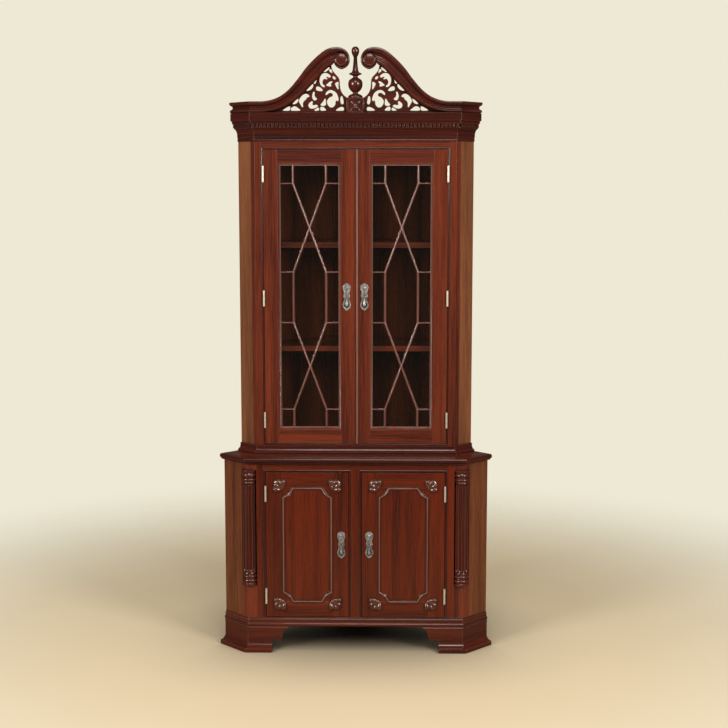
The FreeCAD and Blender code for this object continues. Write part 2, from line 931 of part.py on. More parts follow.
# Cornice
COVE = ARCHITRAVE + S.architrave_height
DENTIL = COVE + S.cove_height
FILLET = DENTIL + S.dentil_height
architrave_profile = [
    (ZERO, ARCHITRAVE),
    (S.architrave_face, ARCHITRAVE, S.architrave_bead * 0.7),
    (S.architrave_face, ARCHITRAVE + S.architrave_bead),
    (S.architrave_face, ARCHITRAVE + S.architrave_height / 2),
    (S.architrave_face * 1.6, ARCHITRAVE + S.architrave_height / 2),
    (S.architrave_face * 1.6, COVE),
    (ZERO, COVE),
]
moulding("architrave", architrave_profile, ZERO, S.architrave_proud, upper)
cove_profile = [
    (ZERO, COVE),
    (S.architrave_proud, COVE, -S.cove_height * 1.1),
    (S.cove_proud, DENTIL - S.architrave_face),
    (S.cove_proud, DENTIL),
    (S.cove_proud - S.dentil_back, DENTIL),
    (S.cove_proud - S.dentil_back, FILLET),
    (ZERO, FILLET),
]
moulding("cornice_cove", cove_profile, ZERO, S.cove_proud, upper)


def dentil_row(body, start, pitch, count, face):
    """Blocks in a row along X on the front of a strip."""
    sketch = new_sketch(body, "XZ_Plane", face)
    wide = pitch * 0.6
    draw(sketch, [
        (start, DENTIL),
        (start + wide, DENTIL),
        (start + wide, FILLET),
        (start, FILLET),
    ])
    block = add_pad(body, sketch, S.dentil_proud)
    pattern = body.newObject("PartDesign::LinearPattern", f"{body.Name}_row")
    pattern.Originals = [block]
    pattern.Direction = (origin_feature(body, "X_Axis"), [""])
    pattern.Occurrences = count
    run = pitch * (count - 1)
    pattern.Length = run.value
    bind(pattern, "Length", run)
    body.Tip = pattern


def dentils():
    inner = S.cove_proud - S.dentil_back
    profile = [
        (inner, DENTIL),
        (S.cove_proud, DENTIL),
        (S.cove_proud, FILLET),
        (inner, FILLET),
    ]
    half_run = upper.front(S.cove_proud)[0]
    front = strip("dentil_front", profile, half_run, inner, S.cove_proud, upper)
    pitch = half_run * 2 / DENTIL_COUNT
    dentil_row(front, -half_run + pitch * 0.2, pitch, DENTIL_COUNT,
               S.cove_proud - upper.face)
    side = return_strip("dentil_return", profile, inner, S.cove_proud, upper)
    run = upper.side_length() + S.cove_proud * MITRE
    side_pitch = run / RETURN_DENTIL_COUNT
    dentil_row(side, side_pitch * 0.2 - S.cove_proud * MITRE, side_pitch,
               RETURN_DENTIL_COUNT, S.cove_proud)
    node("dentil_course", [front, side, mirrored(side)])


dentils()
fascia_profile = [
    (ZERO, FILLET),
    (S.fillet_proud, FILLET),
    (S.fillet_proud, FILLET + S.fillet_height),
    (S.fascia_proud, FILLET + S.fillet_height),
    (S.fascia_proud, CROWN),
    (ZERO, CROWN),
]
moulding("cornice_fascia", fascia_profile, ZERO, S.fascia_proud, upper)

# Pediment

# the neck's outline, in shares of its half span and of its rise above the crown
NECK_SHARES = [
    (0.93, 0.0),
    (0.475, 0.324),
    (0.21, 0.763),
    (0.05, 0.826),
    (0.175, 1.0),
    (0.43, 0.747),
    (0.535, 0.525),
    (0.93, 0.174),
]


def neck_points():
    return [(S.neck_half * a, CROWN + S.neck_rise * b) for a, b in NECK_SHARES]


def swan_neck():
    """The right neck: flat at the corner, rising to a volute beside the finial."""
    under, rise, root, eye, top, shoulder, waist, flat = neck_points()
    end = upper.front(S.crown_proud)[0] + S.overrun
    outline = [
        (end, CROWN),
        (*under, -S.neck_under_radius),
        rise,
        (*root, -S.volute_radius),
        (*eye, -S.volute_top_radius),
        (*top, -S.neck_high_radius),
        shoulder,
        (*waist, S.neck_low_radius),
        (flat[0], CROWN + S.crown_height),
        (end, CROWN + S.crown_height),
    ]
    body = front_prism("neck", outline, upper.face - S.crown_back,
                       S.crown_proud - S.crown_back)
    near = S.crown_back - S.overrun
    far = S.crown_proud + S.overrun
    add_cut(body, "XY_Plane", [[
        upper.front(near),
        upper.front(far),
        (end + S.overrun, upper.face - far),
        (end + S.overrun, upper.face - near),
    ]])
    profile = [
        (S.crown_back, CROWN),
        (S.crown_proud, CROWN),
        (S.crown_proud, CROWN + S.crown_height),
        (S.crown_back, CROWN + S.crown_height),
    ]
    side = return_strip("crown_return", profile, S.crown_back, S.crown_proud, upper)
    return [body, side]


neck_pieces = swan_neck()
node("swan_neck_right", neck_pieces)
node("swan_neck_left", [mirrored(piece) for piece in neck_pieces])

# edge of the fret beside the finial, in the same shares as the neck
FRET_EDGE_SHARES = [(0.225, 0.755), (0.145, 0.48), (0.128, 0.31), (0.0824, 0.232)]
# centres and radii of the piercings: shares of half span, of rise and of the largest hole
FRET_HOLE_SHARES = [
    (0.68, 0.046, 0.33), (0.625, 0.062, 0.6), (0.568, 0.075, 0.73), (0.505, 0.083, 0.8),
    (0.5, 0.191, 0.66), (0.435, 0.075, 0.86), (0.43, 0.207, 0.9), (0.43, 0.328, 0.66),
    (0.36, 0.075, 0.86), (0.355, 0.207, 0.86), (0.355, 0.34, 0.9), (0.355, 0.465, 0.6),
    (0.285, 0.075, 0.86), (0.28, 0.207, 0.86), (0.28, 0.34, 0.9), (0.28, 0.469, 0.8),
    (0.282, 0.589, 0.53), (0.21, 0.075, 0.86), (0.21, 0.203, 0.86), (0.21, 0.332, 0.8),
    (0.21, 0.448, 0.72), (0.235, 0.564, 0.5), (0.137, 0.075, 0.78), (0.15, 0.185, 0.58),
]


def fret():
    """The right fret: a thin pierced board below the neck, glued to its back."""
    under, rise, root = neck_points()[:3]
    top, bend, hip, foot = [(S.neck_half * a, CROWN + S.neck_rise * b)
                            for a, b in FRET_EDGE_SHARES]
    outline = [
        (S.plinth_half, CROWN),
        (under[0], CROWN),
        (under[0], under[1] + S.fret_lap, -S.neck_under_radius),
        (rise[0], rise[1] + S.fret_lap),
        (*top, -S.neck_half * 0.18),
        (*bend, S.neck_half * 0.33),
        (*hip, -S.neck_half * 0.065),
        (S.plinth_half, foot[1]),
    ]
    body = new_body("fret_board")
    sketch = new_sketch(body, "XZ_Plane", S.crown_back - S.fret_thick - upper.face)
    draw(sketch, outline)
    for across, up, size in FRET_HOLE_SHARES:
        draw_circle(sketch, S.neck_half * across, CROWN + S.neck_rise * up, S.fret_hole * size)
    add_pad(body, sketch, S.fret_thick)
    return body


right_fret = fret()
node("fret_right", [right_fret])
node("fret_left", [mirrored(right_fret)])


def flower():
    """A carved flower of four pointed petals on the front of the plinth."""
    middle = CROWN + S.plinth_height / 2
    outline = []
    for x, z in ((1, 0), (1, 1), (0, 1), (-1, 1), (-1, 0), (-1, -1), (0, -1), (1, -1)):
        reach = S.flower_half if x and z else S.flower_half * 0.3
        outline.append((reach * x, middle + reach * z, S.flower_half * 0.9))
    return front_prism("petals", outline, upper.face - S.plinth_front, S.flower_thick)


plinth = box("plinth", -S.plinth_half, upper.face - S.plinth_front, CROWN,
             S.plinth_half * 2, S.plinth_front + S.plinth_back, S.plinth_height)
node("finial_plinth", [plinth, flower()])

# the turned finial, in shares of its radius and height
FINIAL_SHARES = [
    (0.0, 0.0), (1.0, 0.0), (0.95, 0.03), (0.6, 0.055), (0.32, 0.07), (0.32, 0.1),
    (0.6, 0.125), (0.93, 0.21), (0.96, 0.265), (0.85, 0.33), (0.5, 0.38), (0.32, 0.4),
    (0.32, 0.43), (0.85, 0.445), (0.85, 0.475), (0.46, 0.49), (0.29, 0.79), (0.45, 0.84),
    (0.54, 0.915), (0.4, 0.975), (0.0, 1.0),
]
finial_outline = [(S.finial_radius * r, S.finial_height * z) for r, z in FINIAL_SHARES]
node("finial", [turned("turned_finial", finial_outline, ZERO,
                       upper.face - (S.plinth_front - S.plinth_back) / 2,
                       CROWN + S.plinth_height)])


# Doors

class Door:
    """The right door of a case: its edges, its face and its hinge line."""

    def __init__(self, name, case, inner, outer, bottom, top, stile_width):
        self.name = name
        self.case = case
        self.inner = inner
        self.outer = outer
        self.bottom = bottom
        self.top = top
        self.stile = stile_width
        self.face = case.face
        self.middle = (inner + outer) / 2
        self.pin_x = outer + S.door_gap / 2
        self.pin_y = case.face - S.hinge_out


upper_door = Door("upper", upper, S.door_gap / 2,
                  S.upper_open_half - S.upper_bead - S.door_gap,
                  UPPER_FLOOR + S.upper_bead + S.door_gap,
                  UPPER_OPEN_TOP - S.upper_bead - S.door_gap, S.upper_stile)
lower_door = Door("lower", lower, S.centre_half + S.lower_bead + S.door_gap,
                  S.lower_open_half - S.lower_bead - S.door_gap,
                  LOWER_FLOOR + S.door_gap,
                  LOWER_FLOOR + open_height - S.lower_bead - S.door_gap, S.lower_stile)


def door_frame(door, low_rail, top_rail):
    """Two full-height stiles with the rails between them."""
    height = door.top - door.bottom
    name = f"{door.name}_door"
    width = door.outer - door.inner - door.stile * 2
    across = door.inner + door.stile
    return [
        box(f"{name}_meeting_stile", door.inner, door.face, door.bottom,
            door.stile, S.door_thick, height),
        box(f"{name}_hinge_stile", door.outer - door.stile, door.face, door.bottom,
            door.stile, S.door_thick, height),
        box(f"{name}_low_rail", across, door.face, door.bottom, width, S.door_thick, low_rail),
        box(f"{name}_top_rail", across, door.face, door.top - top_rail,
            width, S.door_thick, top_rail),
    ]


def glazing(door, low_rail, top_rail):
    """Sash moulding in front of the glass, the bars, and fillets behind the glass."""
    left = door.inner + door.stile
    right = door.outer - door.stile
    bottom = door.bottom + low_rail
    top = door.top - top_rail
    front = door.face + S.sash_set
    glass_front = door.face + S.sash_depth
    glass_back = glass_front + S.glass_thick
    sash = [
        (ZERO, front),
        (S.sash_width / 3, front, S.sash_round * 1.2),
        (S.sash_width - S.sash_set, front + S.sash_round),
        (S.sash_width, front + S.sash_round),
        (S.sash_width, glass_front),
        (ZERO, glass_front),
    ]
    fillet = [
        (ZERO, glass_back),
        (S.sash_width - S.sash_set, glass_back),
        (S.sash_width - S.sash_set, door.face + S.door_thick),
        (ZERO, door.face + S.door_thick),
    ]
    sides = ("left", "right", "bottom", "top")
    pieces = edge_frame("sash", left, right, bottom, top, sash, S.sash_width, sides)
    pieces += edge_frame("glass_fillet", left, right, bottom, top, fillet,
                         S.sash_width - S.sash_set, sides)
    bars = glazing_bars(door, left + S.sash_width, right - S.sash_width,
                        bottom + S.sash_width, top - S.sash_width, glass_front)
    clear = S.glass_clear
    pane = box("glass_pane", left + clear, glass_front, bottom + clear,
               right - left - clear * 2, S.glass_thick, top - bottom - clear * 2)
    return pieces + [bars], pane


def glazing_bars(door, left, right, bottom, top, back):
    """One flat lattice of thirteen panes: crossed bars above and below a middle pane."""
    half = S.bar_width / 2
    centre = door.middle
    reach = S.bar_reach
    slope = S.cross_pane / 2 / reach
    tip = half * slope
    rim = S.bar_rim
    low = [bottom + rim, bottom + S.end_pane, bottom + S.end_pane + S.cross_pane]
    high = [top - rim, top - S.end_pane, top - S.end_pane - S.cross_pane]
    limits = ((-1, left + rim), (1, right - rim))
    panes = []
    for (edge, first, second), way in ((low, 1), (high, -1)):
        cross = (first + second) / 2
        for side, limit in limits:
            bar = centre + reach * side
            panes.append([
                (limit, edge),
                (bar + half * side, edge),
                (bar + half * side, first - half * way),
                (limit, first - half * way),
            ])
            panes.append([
                (limit, first + half * way),
                (bar + half * side, first + half * way),
                (centre + half * side, cross),
                (bar + half * side, second - half * way),
                (limit, second - half * way),
            ])
        panes.append([
            (centre - reach + half, edge),
            (centre + reach - half, edge),
            (centre + reach - half, first),
            (centre, cross - tip * way),
            (centre - reach + half, first),
        ])
    low_cross = (low[1] + low[2]) / 2
    high_cross = (high[1] + high[2]) / 2
    panes.append([
        (centre - reach + half, low[2]),
        (centre, low_cross + tip),
        (centre + reach - half, low[2]),
        (centre + reach - half, high[2]),
        (centre, high_cross - tip),
        (centre - reach + half, high[2]),
    ])
    for side, limit in limits:
        bar = centre + reach * side + half * side
        panes.append([
            (limit, low[2] + half),
            (bar, low[2] + half),
            (bar, high[2] - half),
            (limit, high[2] - half),
        ])
    outer = [(left, bottom), (right, bottom), (right, top), (left, top)]
    return prism("glazing_lattice", "XZ_Plane", [outer] + panes, -back, S.bar_depth)


def glazed_doors():
    """The two upper doors. A bead on the right one covers the meeting line."""
    door = upper_door
    frame = door_frame(door, S.upper_low_rail, S.upper_top_rail)
    bead = box("meeting_bead", door.inner, door.face - S.meeting_proud, door.bottom,
               S.meeting_bead, S.meeting_proud, door.top - door.bottom)
    bars, pane = glazing(door, S.upper_low_rail, S.upper_top_rail)
    node("upper_right_door", frame + [bead])
    node("upper_left_door", [mirrored(piece) for piece in frame])
    item = node("upper_right_glazing_bars", bars)
    node("upper_left_glazing_bars", [mirrored(item)])
    node("upper_right_glass", [pane])
    node("upper_left_glass", [mirrored(pane)])


def trim_outline(door, shrink):
    """A panel outline with a hollow at each corner."""
    wide = (door.outer - door.inner) / 2 - S.trim_margin - shrink
    high = (door.top - door.bottom) / 2 - S.trim_margin - shrink
    across = wide - S.trim_notch_wide + shrink * 0.4
    up = high - S.trim_notch_high + shrink * 0.4
    hollow = -S.trim_notch_radius - shrink
    middle = (door.top + door.bottom) / 2
    return [
        (door.middle - across, middle - high),
        (door.middle + across, middle - high, hollow),
        (door.middle + wide, middle - up),
        (door.middle + wide, middle + up, hollow),
        (door.middle + across, middle + high),
        (door.middle - across, middle + high, hollow),
        (door.middle - wide, middle + up),
        (door.middle - wide, middle - up, hollow),
    ]


def shell(door, name, side, rise):
    """A carved fan near one corner of a door, its root towards the panel."""
    corner_x = door.outer if side > 0 else door.inner
    corner_z = door.top if rise > 0 else door.bottom
    root = (corner_x - S.shell_inset * side, corner_z - S.shell_inset * rise)
    outline = [root]
    for step in range(LOBE_COUNT + 1):
        angle = math.pi / 2 * step / LOBE_COUNT
        point = (
            root[0] + S.shell_radius * (math.cos(angle) * side),
            root[1] + S.shell_radius * (math.sin(angle) * rise),
        )
        lobe = S.shell_radius * (0.9 / LOBE_COUNT * side * rise)
        outline.append((*point, lobe) if step < LOBE_COUNT else point)
    return front_prism(name, outline, door.face, S.shell_thick)


def panelled_doors():
    """The two lower doors: frame, flush panel, hollow-cornered trim and corner shells."""
    door = lower_door
    margin = S.trim_margin
    frame = door_frame(door, margin, margin)
    panel = box("lower_panel", door.inner + margin, door.face, door.bottom + margin,
                door.outer - door.inner - margin * 2, S.door_thick,
                door.top - door.bottom - margin * 2)
    item = node("lower_right_door", frame + [panel])
    node("lower_left_door", [mirrored(item)])
    trim = front_prism("panel_trim", [trim_outline(door, ZERO),
                                      trim_outline(door, S.trim_width)],
                       door.face, S.trim_proud)
    shells = [shell(door, f"shell_{side}_{rise}".replace("-", "m"), side, rise)
              for side in (1, -1) for rise in (1, -1)]
    item = node("lower_right_panel_trim", [trim] + shells)
    node("lower_left_panel_trim", [mirrored(item)])


glazed_doors()
panelled_doors()


# Hinges

def fused(name, pieces):
    joined = document.addObject("Part::MultiFuse", name)
    joined.Shapes = pieces
    return joined


def cut(name, base, tool):
    result = document.addObject("Part::Cut", name)
    result.Base = base
    result.Tool = tool
    return result


def rod(name, x, y, z, radius, height, turn=0, about=(0, 0, 1)):
    """A cylinder, upright unless it is turned."""
    cylinder = document.addObject("Part::Cylinder", name)
    for key, size in (("Radius", radius), ("Height", height)):
        setattr(cylinder, key, size.value)
        bind(cylinder, key, size)
    return place(cylinder, x, y, z, turn, about)


def hinge(name, door, middle):
    """A butt hinge: the frame's leaf with two knuckles, the door's with one, and the pin."""
    third = S.hinge_length / 3
    low = middle - S.hinge_length / 2
    neck = S.hinge_out - (S.knuckle_radius + S.pin_radius) / 2
    half_gap = S.knuckle_gap / 2
    frame_x = door.outer + S.door_gap - S.hinge_leaf

    def leaf(part, x, zones):
        pieces = [box(f"{name}_{part}_plate", x, door.face, low, S.hinge_leaf,
                      S.hinge_wide, S.hinge_length)]
        for number, (bottom, high) in enumerate(zones):
            pieces.append(box(f"{name}_{part}_neck_{number}", x, door.face - neck, bottom,
                              S.hinge_leaf, neck, high))
            pieces.append(rod(f"{name}_{part}_knuckle_{number}", door.pin_x, door.pin_y,
                              bottom, S.knuckle_radius, high))
        bore = rod(f"{name}_{part}_bore", door.pin_x, door.pin_y, low - S.overrun,
                   S.pin_radius + S.pin_clear, S.hinge_length + S.overrun * 2)
        return cut(f"{name}_{part}_leaf", fused(f"{name}_{part}", pieces), bore)

    outer_zones = [(low, third - half_gap), (low + third * 2 + half_gap, third - half_gap)]
    frame_leaf = leaf("frame", frame_x, outer_zones)
    door_leaf = leaf("door", door.outer, [(low + third + half_gap, third - half_gap * 2)])
    pin = fused(f"{name}_pin", [
        rod(f"{name}_pin_rod", door.pin_x, door.pin_y, low, S.pin_radius, S.hinge_length),
        rod(f"{name}_pin_foot", door.pin_x, door.pin_y, low - S.pin_cap,
            S.knuckle_radius, S.pin_cap),
        rod(f"{name}_pin_head", door.pin_x, door.pin_y, low + S.hinge_length,
            S.knuckle_radius, S.pin_cap),
    ])
    return frame_leaf, door_leaf, pin


def hinges():
    """Three hinges on each upper door and two on each lower door."""
    frame_leaves = []
    pins = []
    places = (
        (upper_door, [upper_door.bottom + S.upper_hinge_inset,
                      (upper_door.bottom + upper_door.top) / 2,
                      upper_door.top - S.upper_hinge_inset]),
        (lower_door, [lower_door.bottom + S.lower_hinge_inset,
                      lower_door.top - S.lower_hinge_inset]),
    )
    for door, middles in places:
        door_leaves = []
        for number, middle in enumerate(middles, 1):
            leaf, other, pin = hinge(f"{door.name}_hinge_{number}", door, middle)
            frame_leaves += both(leaf)
            pins += both(pin)
            door_leaves.append(other)
        item = node(f"{door.name}_right_hinge_leaves", door_leaves)
        node(f"{door.name}_left_hinge_leaves", [mirrored(item)])
    node("hinge_frame_leaves", frame_leaves)
    node("hinge_pins", pins)


hinges()


# Drop pulls

# half outlines in shares of half width and of height, from top to bottom
PLATE_SHARES = [
    (0.0, 0.5), (0.62, 0.42), (0.98, 0.33), (0.9, 0.24), (0.52, 0.15), (0.55, 0.1),
    (0.82, 0.03), (0.82, -0.03), (0.5, -0.12), (0.55, -0.18), (1.0, -0.29), (0.85, -0.4),
    (0.0, -0.5),
]
DROP_SHARES = [
    (0.36, 0.0), (0.3, -0.18), (0.5, -0.38), (1.0, -0.7), (0.86, -0.88), (0.0, -1.0),
]


def both_halves(shares, x, z, half_width, height):
    """A closed outline from the shares of its right half."""
    right = [(half_width * a, height * b) for a, b in shares]
    left = [(-a, b) for a, b in reversed(right) if a.value]
    return [(x + a, z + b) for a, b in right + left]


def pull(door, x, z):
    """A shaped plate with two lugs and a pin, and the drop that hangs from the pin."""
    name = f"{door.name}_pull"
    face = door.face
    plate = front_prism(f"{name}_plate", both_halves(PLATE_SHARES, x, z, S.plate_width / 2,
                                                     S.plate_height), face, S.plate_thick)
    boss = rod(f"{name}_boss", x, face, z + S.plate_height * 0.32, S.boss_radius,
               S.boss_thick, 90, (1, 0, 0))
    axis_y = face - S.pull_out
    inner = S.pull_eye_wide / 2 + S.lug_gap
    lugs = [
        box(f"{name}_lug_{side}", start, face - S.lug_out, z - S.lug_high / 2,
            S.lug_wide, S.lug_out, S.lug_high)
        for side, start in (("left", x - inner - S.lug_wide), ("right", x + inner))
    ]
    pin = rod(f"{name}_pin", x - inner - S.lug_wide, axis_y, z, S.pull_pin,
              (inner + S.lug_wide) * 2, 90, (0, 1, 0))
    plate_group = fused(f"{name}_fixed", [plate, boss, pin] + lugs)
    drop = front_prism(f"{name}_drop_leaf", both_halves(DROP_SHARES, x, z, S.drop_wide / 2,
                                                        S.drop_length),
                       axis_y + S.drop_thick / 2, S.drop_thick)
    eye = rod(f"{name}_eye", x - S.pull_eye_wide / 2, axis_y, z, S.pull_eye,
              S.pull_eye_wide, 90, (0, 1, 0))
    bore = rod(f"{name}_bore", x - inner, axis_y, z, S.pull_pin + S.pull_clear,
               inner * 2, 90, (0, 1, 0))
    drop = cut(f"{name}_drop", fused(f"{name}_moving", [drop, eye]), bore)
    node(f"{door.name}_right_pull_plate", [plate_group])
    node(f"{door.name}_left_pull_plate", [mirrored(plate_group)])
    node(f"{door.name}_right_drop", [drop])
    node(f"{door.name}_left_drop", [mirrored(drop)])


pull(upper_door, S.upper_pull_place, upper_door.bottom + S.upper_pull_rise + S.plate_height / 2)
pull(lower_door, S.lower_pull_place, lower_door.bottom + S.lower_pull_rise + S.plate_height / 2)


def catch(door, opening_top):
    """A magnetic catch behind the top rail, near the meeting stile."""
    return box(f"{door.name}_catch", S.catch_place, door.face + S.door_thick + S.catch_gap,
               opening_top - S.catch_drop, S.catch_wide, S.catch_deep,
               S.catch_drop + S.catch_rise)


node("door_catches", both(catch(upper_door, UPPER_OPEN_TOP))
     + both(catch(lower_door, LOWER_FLOOR + open_height)))


# Recompute, check and write

def check_and_write():
    document.recompute()
    for item in document.Objects:
        if "Invalid" in item.State or "Error" in item.State:
            raise RuntimeError(f"{item.Label} failed: {item.State}")
    for item in NODES:
        shape = item.Shape
        if shape.isNull() or not shape.isValid() or not shape.Solids:
            raise RuntimeError(f"{item.Label} has no valid solid")
    os.makedirs("parts", exist_ok=True)
    for item in NODES:
        item.Shape.exportStep(f"parts/{item.Label}.step")
        box_size = item.Shape.BoundBox
        print(f"{item.Label}: {len(item.Shape.Solids)} solids, {item.Shape.Volume:.0f} mm3, "
              f"z {box_size.ZMin:.1f} to {box_size.ZMax:.1f}")
    print(f"{len(NODES)} nodes")


check_and_write()
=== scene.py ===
# %% [markdown]
# # A corner cabinet with a swan neck pediment
#
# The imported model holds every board, moulding, door, hinge and pull at its real place. This
# lesson dresses it: it gives each board a polished mahogany with the grain running the way the
# joiner laid it, and models the carved, turned and cast pieces again with their full detail.
# All lengths are metres, +Z is up and the cabinet faces -Y.

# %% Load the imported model
import math
from contextlib import contextmanager
from functools import cache

import bmesh
import bpy
from mathutils import Matrix, Vector


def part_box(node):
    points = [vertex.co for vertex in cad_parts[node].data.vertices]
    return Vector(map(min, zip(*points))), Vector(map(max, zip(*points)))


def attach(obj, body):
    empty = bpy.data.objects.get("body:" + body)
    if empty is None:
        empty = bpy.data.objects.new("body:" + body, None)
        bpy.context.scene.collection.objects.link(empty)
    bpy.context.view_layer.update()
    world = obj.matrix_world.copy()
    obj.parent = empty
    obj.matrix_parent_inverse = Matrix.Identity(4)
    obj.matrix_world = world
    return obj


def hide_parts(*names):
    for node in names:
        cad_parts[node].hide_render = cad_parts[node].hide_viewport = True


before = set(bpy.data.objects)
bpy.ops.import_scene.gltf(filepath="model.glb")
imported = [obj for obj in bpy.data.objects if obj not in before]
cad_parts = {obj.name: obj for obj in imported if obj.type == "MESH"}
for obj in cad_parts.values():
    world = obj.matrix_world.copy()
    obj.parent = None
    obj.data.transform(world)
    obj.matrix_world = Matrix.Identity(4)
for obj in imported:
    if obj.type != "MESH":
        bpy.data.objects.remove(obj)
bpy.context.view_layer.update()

MM = 0.001
print("packed nodes:", len(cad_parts))

# %% [markdown]
# ## The camera
#
# The photograph was taken from a little above the middle of the cabinet, 5.4 m in front of it,
# with a short telephoto lens. The slopes of the level mouldings and upright stiles fix that place.

# %% The camera at the photograph's place
bpy.ops.object.camera_add(
    location=(0.1163, -5.3592, 1.7815),
    rotation=(math.radians(82.689), 0, math.radians(0.93)),
)
camera = bpy.context.object
camera.data.lens = 66.65
camera.data.sensor_width = 36
bpy.context.scene.camera = camera

# %% [markdown]
# ## Soft studio light
#
# Polished wood shows its shape by what it mirrors, so two broad lights stand left and right of
# the camera, as two soft boxes would, and a weaker one hangs high in front and draws a bright
# line along every level moulding. A pale world fills the shadows.

# %% Lights
LIGHTS = {
    # place, height of the point it looks at, size, power, colour
    "light_left": ((-3.5, -3.6, 2.5), 1.4, 1.5, 150, (1.0, 0.96, 0.9)),
    "light_right": ((3.5, -3.8, 2.8), 1.4, 1.5, 170, (1.0, 0.96, 0.9)),
    "light_high": ((0.2, -3.4, 4.4), 1.3, 1.7, 60, (1.0, 0.97, 0.92)),
}
for name, (place, aim, size, power, colour) in LIGHTS.items():
    bpy.ops.object.light_add(type="AREA", location=place)
    lamp = bpy.context.object
    lamp.name = name
    lamp.data.shape = "SQUARE"
    lamp.data.size = size
    lamp.data.energy = power
    lamp.data.color = colour
    look = Vector((0, 0, aim)) - Vector(place)
    lamp.rotation_euler = look.to_track_quat("-Z", "Y").to_euler()
bpy.context.scene.view_settings.view_transform = "Standard"

# %% [markdown]
# ## Nodes
#
# The world and every finish is a small node tree, so a few helpers add the nodes and link them.

# %% Helpers for node trees
# The Mix node has several sockets of the same name, so they are told by number.
FLOAT_A, FLOAT_B, COLOUR_A, COLOUR_B, COLOUR_OUT = 2, 3, 6, 7, 2


def adjust(node, at=None, **settings):
    """Sets properties of a node or values of its inputs; at holds inputs told by number."""
    for key, value in settings.items():
        if hasattr(node, key):
            setattr(node, key, value)
        else:
            node.inputs[key.replace("_", " ")].default_value = value
    for number, value in (at or {}).items():
        node.inputs[number].default_value = value
    return node


def put(tree, kind, at=None, **settings):
    """Adds a node and adjusts it."""
    return adjust(tree.nodes.new("ShaderNode" + kind), at, **settings)


def mixer(tree, a=None, b=None, blend="MIX"):
    """Adds a node that mixes two colours. A colour that isn't given here is linked."""
    given = {COLOUR_A: a, COLOUR_B: b}
    return put(tree, "Mix", {number: (*colour, 1) for number, colour in given.items() if colour},
               data_type="RGBA", blend_type=blend)


def join(tree, *pairs):
    """Links output sockets to input sockets, given as (node, name, node, name)."""
    for giver, out, taker, into in pairs:
        tree.links.new(giver.outputs[out], taker.inputs[into])


def group(name, inputs, outputs):
    """A new node group with named sockets, its input node and its output node."""
    tree = bpy.data.node_groups.new(name, "ShaderNodeTree")
    for label, kind, value in inputs:
        socket = tree.interface.new_socket(label, in_out="INPUT", socket_type="NodeSocket" + kind)
        if value is not None:
            socket.default_value = value
    for label, kind in outputs:
        tree.interface.new_socket(label, in_out="OUTPUT", socket_type="NodeSocket" + kind)
    return tree, tree.nodes.new("NodeGroupInput"), tree.nodes.new("NodeGroupOutput")


def new_material(name):
    """A new material, its node tree and its shader."""
    material = bpy.data.materials.new(name)
    material.use_nodes = True
    return material, material.node_tree, material.node_tree.nodes["Principled BSDF"]

# %% [markdown]
# ## The pale world
#
# The camera sees a cream backdrop. The same cream fills the shadows, but the polish mirrors a
# dimmer room, because deep colour in polished wood needs something dark to reflect.

# %% World
world = bpy.data.worlds.new("pale_room")
bpy.context.scene.world = world
world.use_nodes = True
tree = world.node_tree
backdrop = adjust(tree.nodes["Background"], Color=(0.93, 0.885, 0.72, 1))
ray = put(tree, "LightPath")
mirrored_room = put(tree, "MapRange", To_Min=0.42, To_Max=0.08)
seen_room = put(tree, "Mix", {FLOAT_B: 0.92}, data_type="FLOAT")
join(tree, (ray, "Is Glossy Ray", mirrored_room, "Value"), (ray, "Is Camera Ray", seen_room, 0),
     (mirrored_room, "Result", seen_room, FLOAT_A), (seen_room, 0, backdrop, "Strength"))

# %% [markdown]
# ## Effects that the finishes share
#
# Two effects are node groups with named sockets: the mahogany's grain, and the soft edge that
# sanding and polishing leave on every board. The Bevel node finds the edge: it looks at the
# neighbouring faces and gives a rounded normal, so no board needs more faces for it. Its edge
# mask also lightens the arrises, partly as wear and partly as painted highlight. The same group
# finds the recesses with an AO node, and the woods darken them there as painted shade.

# %% The soft edge, shared by all the wood
EDGE, edge_in, edge_out = group(
    "soft_edge", [("Radius", "Float", 0.0015), ("Reach", "Float", 0.012)],
    [("Edge", "Float"), ("Recess", "Float"), ("Normal", "Vector")])
rounded = put(EDGE, "Bevel", samples=4)
true_face = put(EDGE, "NewGeometry")
agree = put(EDGE, "VectorMath", operation="DOT_PRODUCT")
spread = put(EDGE, "MapRange", From_Min=0.999, From_Max=0.86)
corner = put(EDGE, "AmbientOcclusion", samples=6)
deepness = put(EDGE, "MapRange", From_Min=0.85, From_Max=0.25)
join(EDGE, (edge_in, "Radius", rounded, "Radius"), (rounded, "Normal", agree, 0),
     (true_face, "Normal", agree, 1), (agree, "Value", spread, "Value"),
     (spread, "Result", edge_out, "Edge"), (rounded, "Normal", edge_out, "Normal"),
     (edge_in, "Reach", corner, "Distance"), (corner, "AO", deepness, "Value"),
     (deepness, "Result", edge_out, "Recess"))

# %% [markdown]
# ### Mahogany grain
#
# Mahogany has broad soft ribbons, fine fibres and short dark pores, all stretched along the
# board. The group expects coordinates whose Z axis runs with the grain, so one group serves
# every board, and the material turns its coordinates first.

# %% The grain group
GRAIN, grain_in, grain_out = group(
    "mahogany_grain",
    [("Vector", "Vector", None), ("Board", "Float", 0.0), ("Dark", "Color", (0, 0, 0, 1)),
     ("Light", "Color", (1, 1, 1, 1)), ("Contrast", "Float", 0.5), ("Pores", "Float", 0.4)],
    [("Color", "Color"), ("Roughness", "Float"), ("Height", "Float")])


def stretched_noise(across, along, detail, name):
    """Noise drawn out along the board."""
    turned = put(GRAIN, "Mapping", Scale=(across, across, along))
    noise = put(GRAIN, "TexNoise", noise_dimensions="4D", Scale=1.0, Detail=detail,
                Roughness=0.55, label=name)
    join(GRAIN, (grain_in, "Vector", turned, "Vector"), (turned, "Vector", noise, "Vector"),
         (grain_in, "Board", noise, "W"))
    return noise


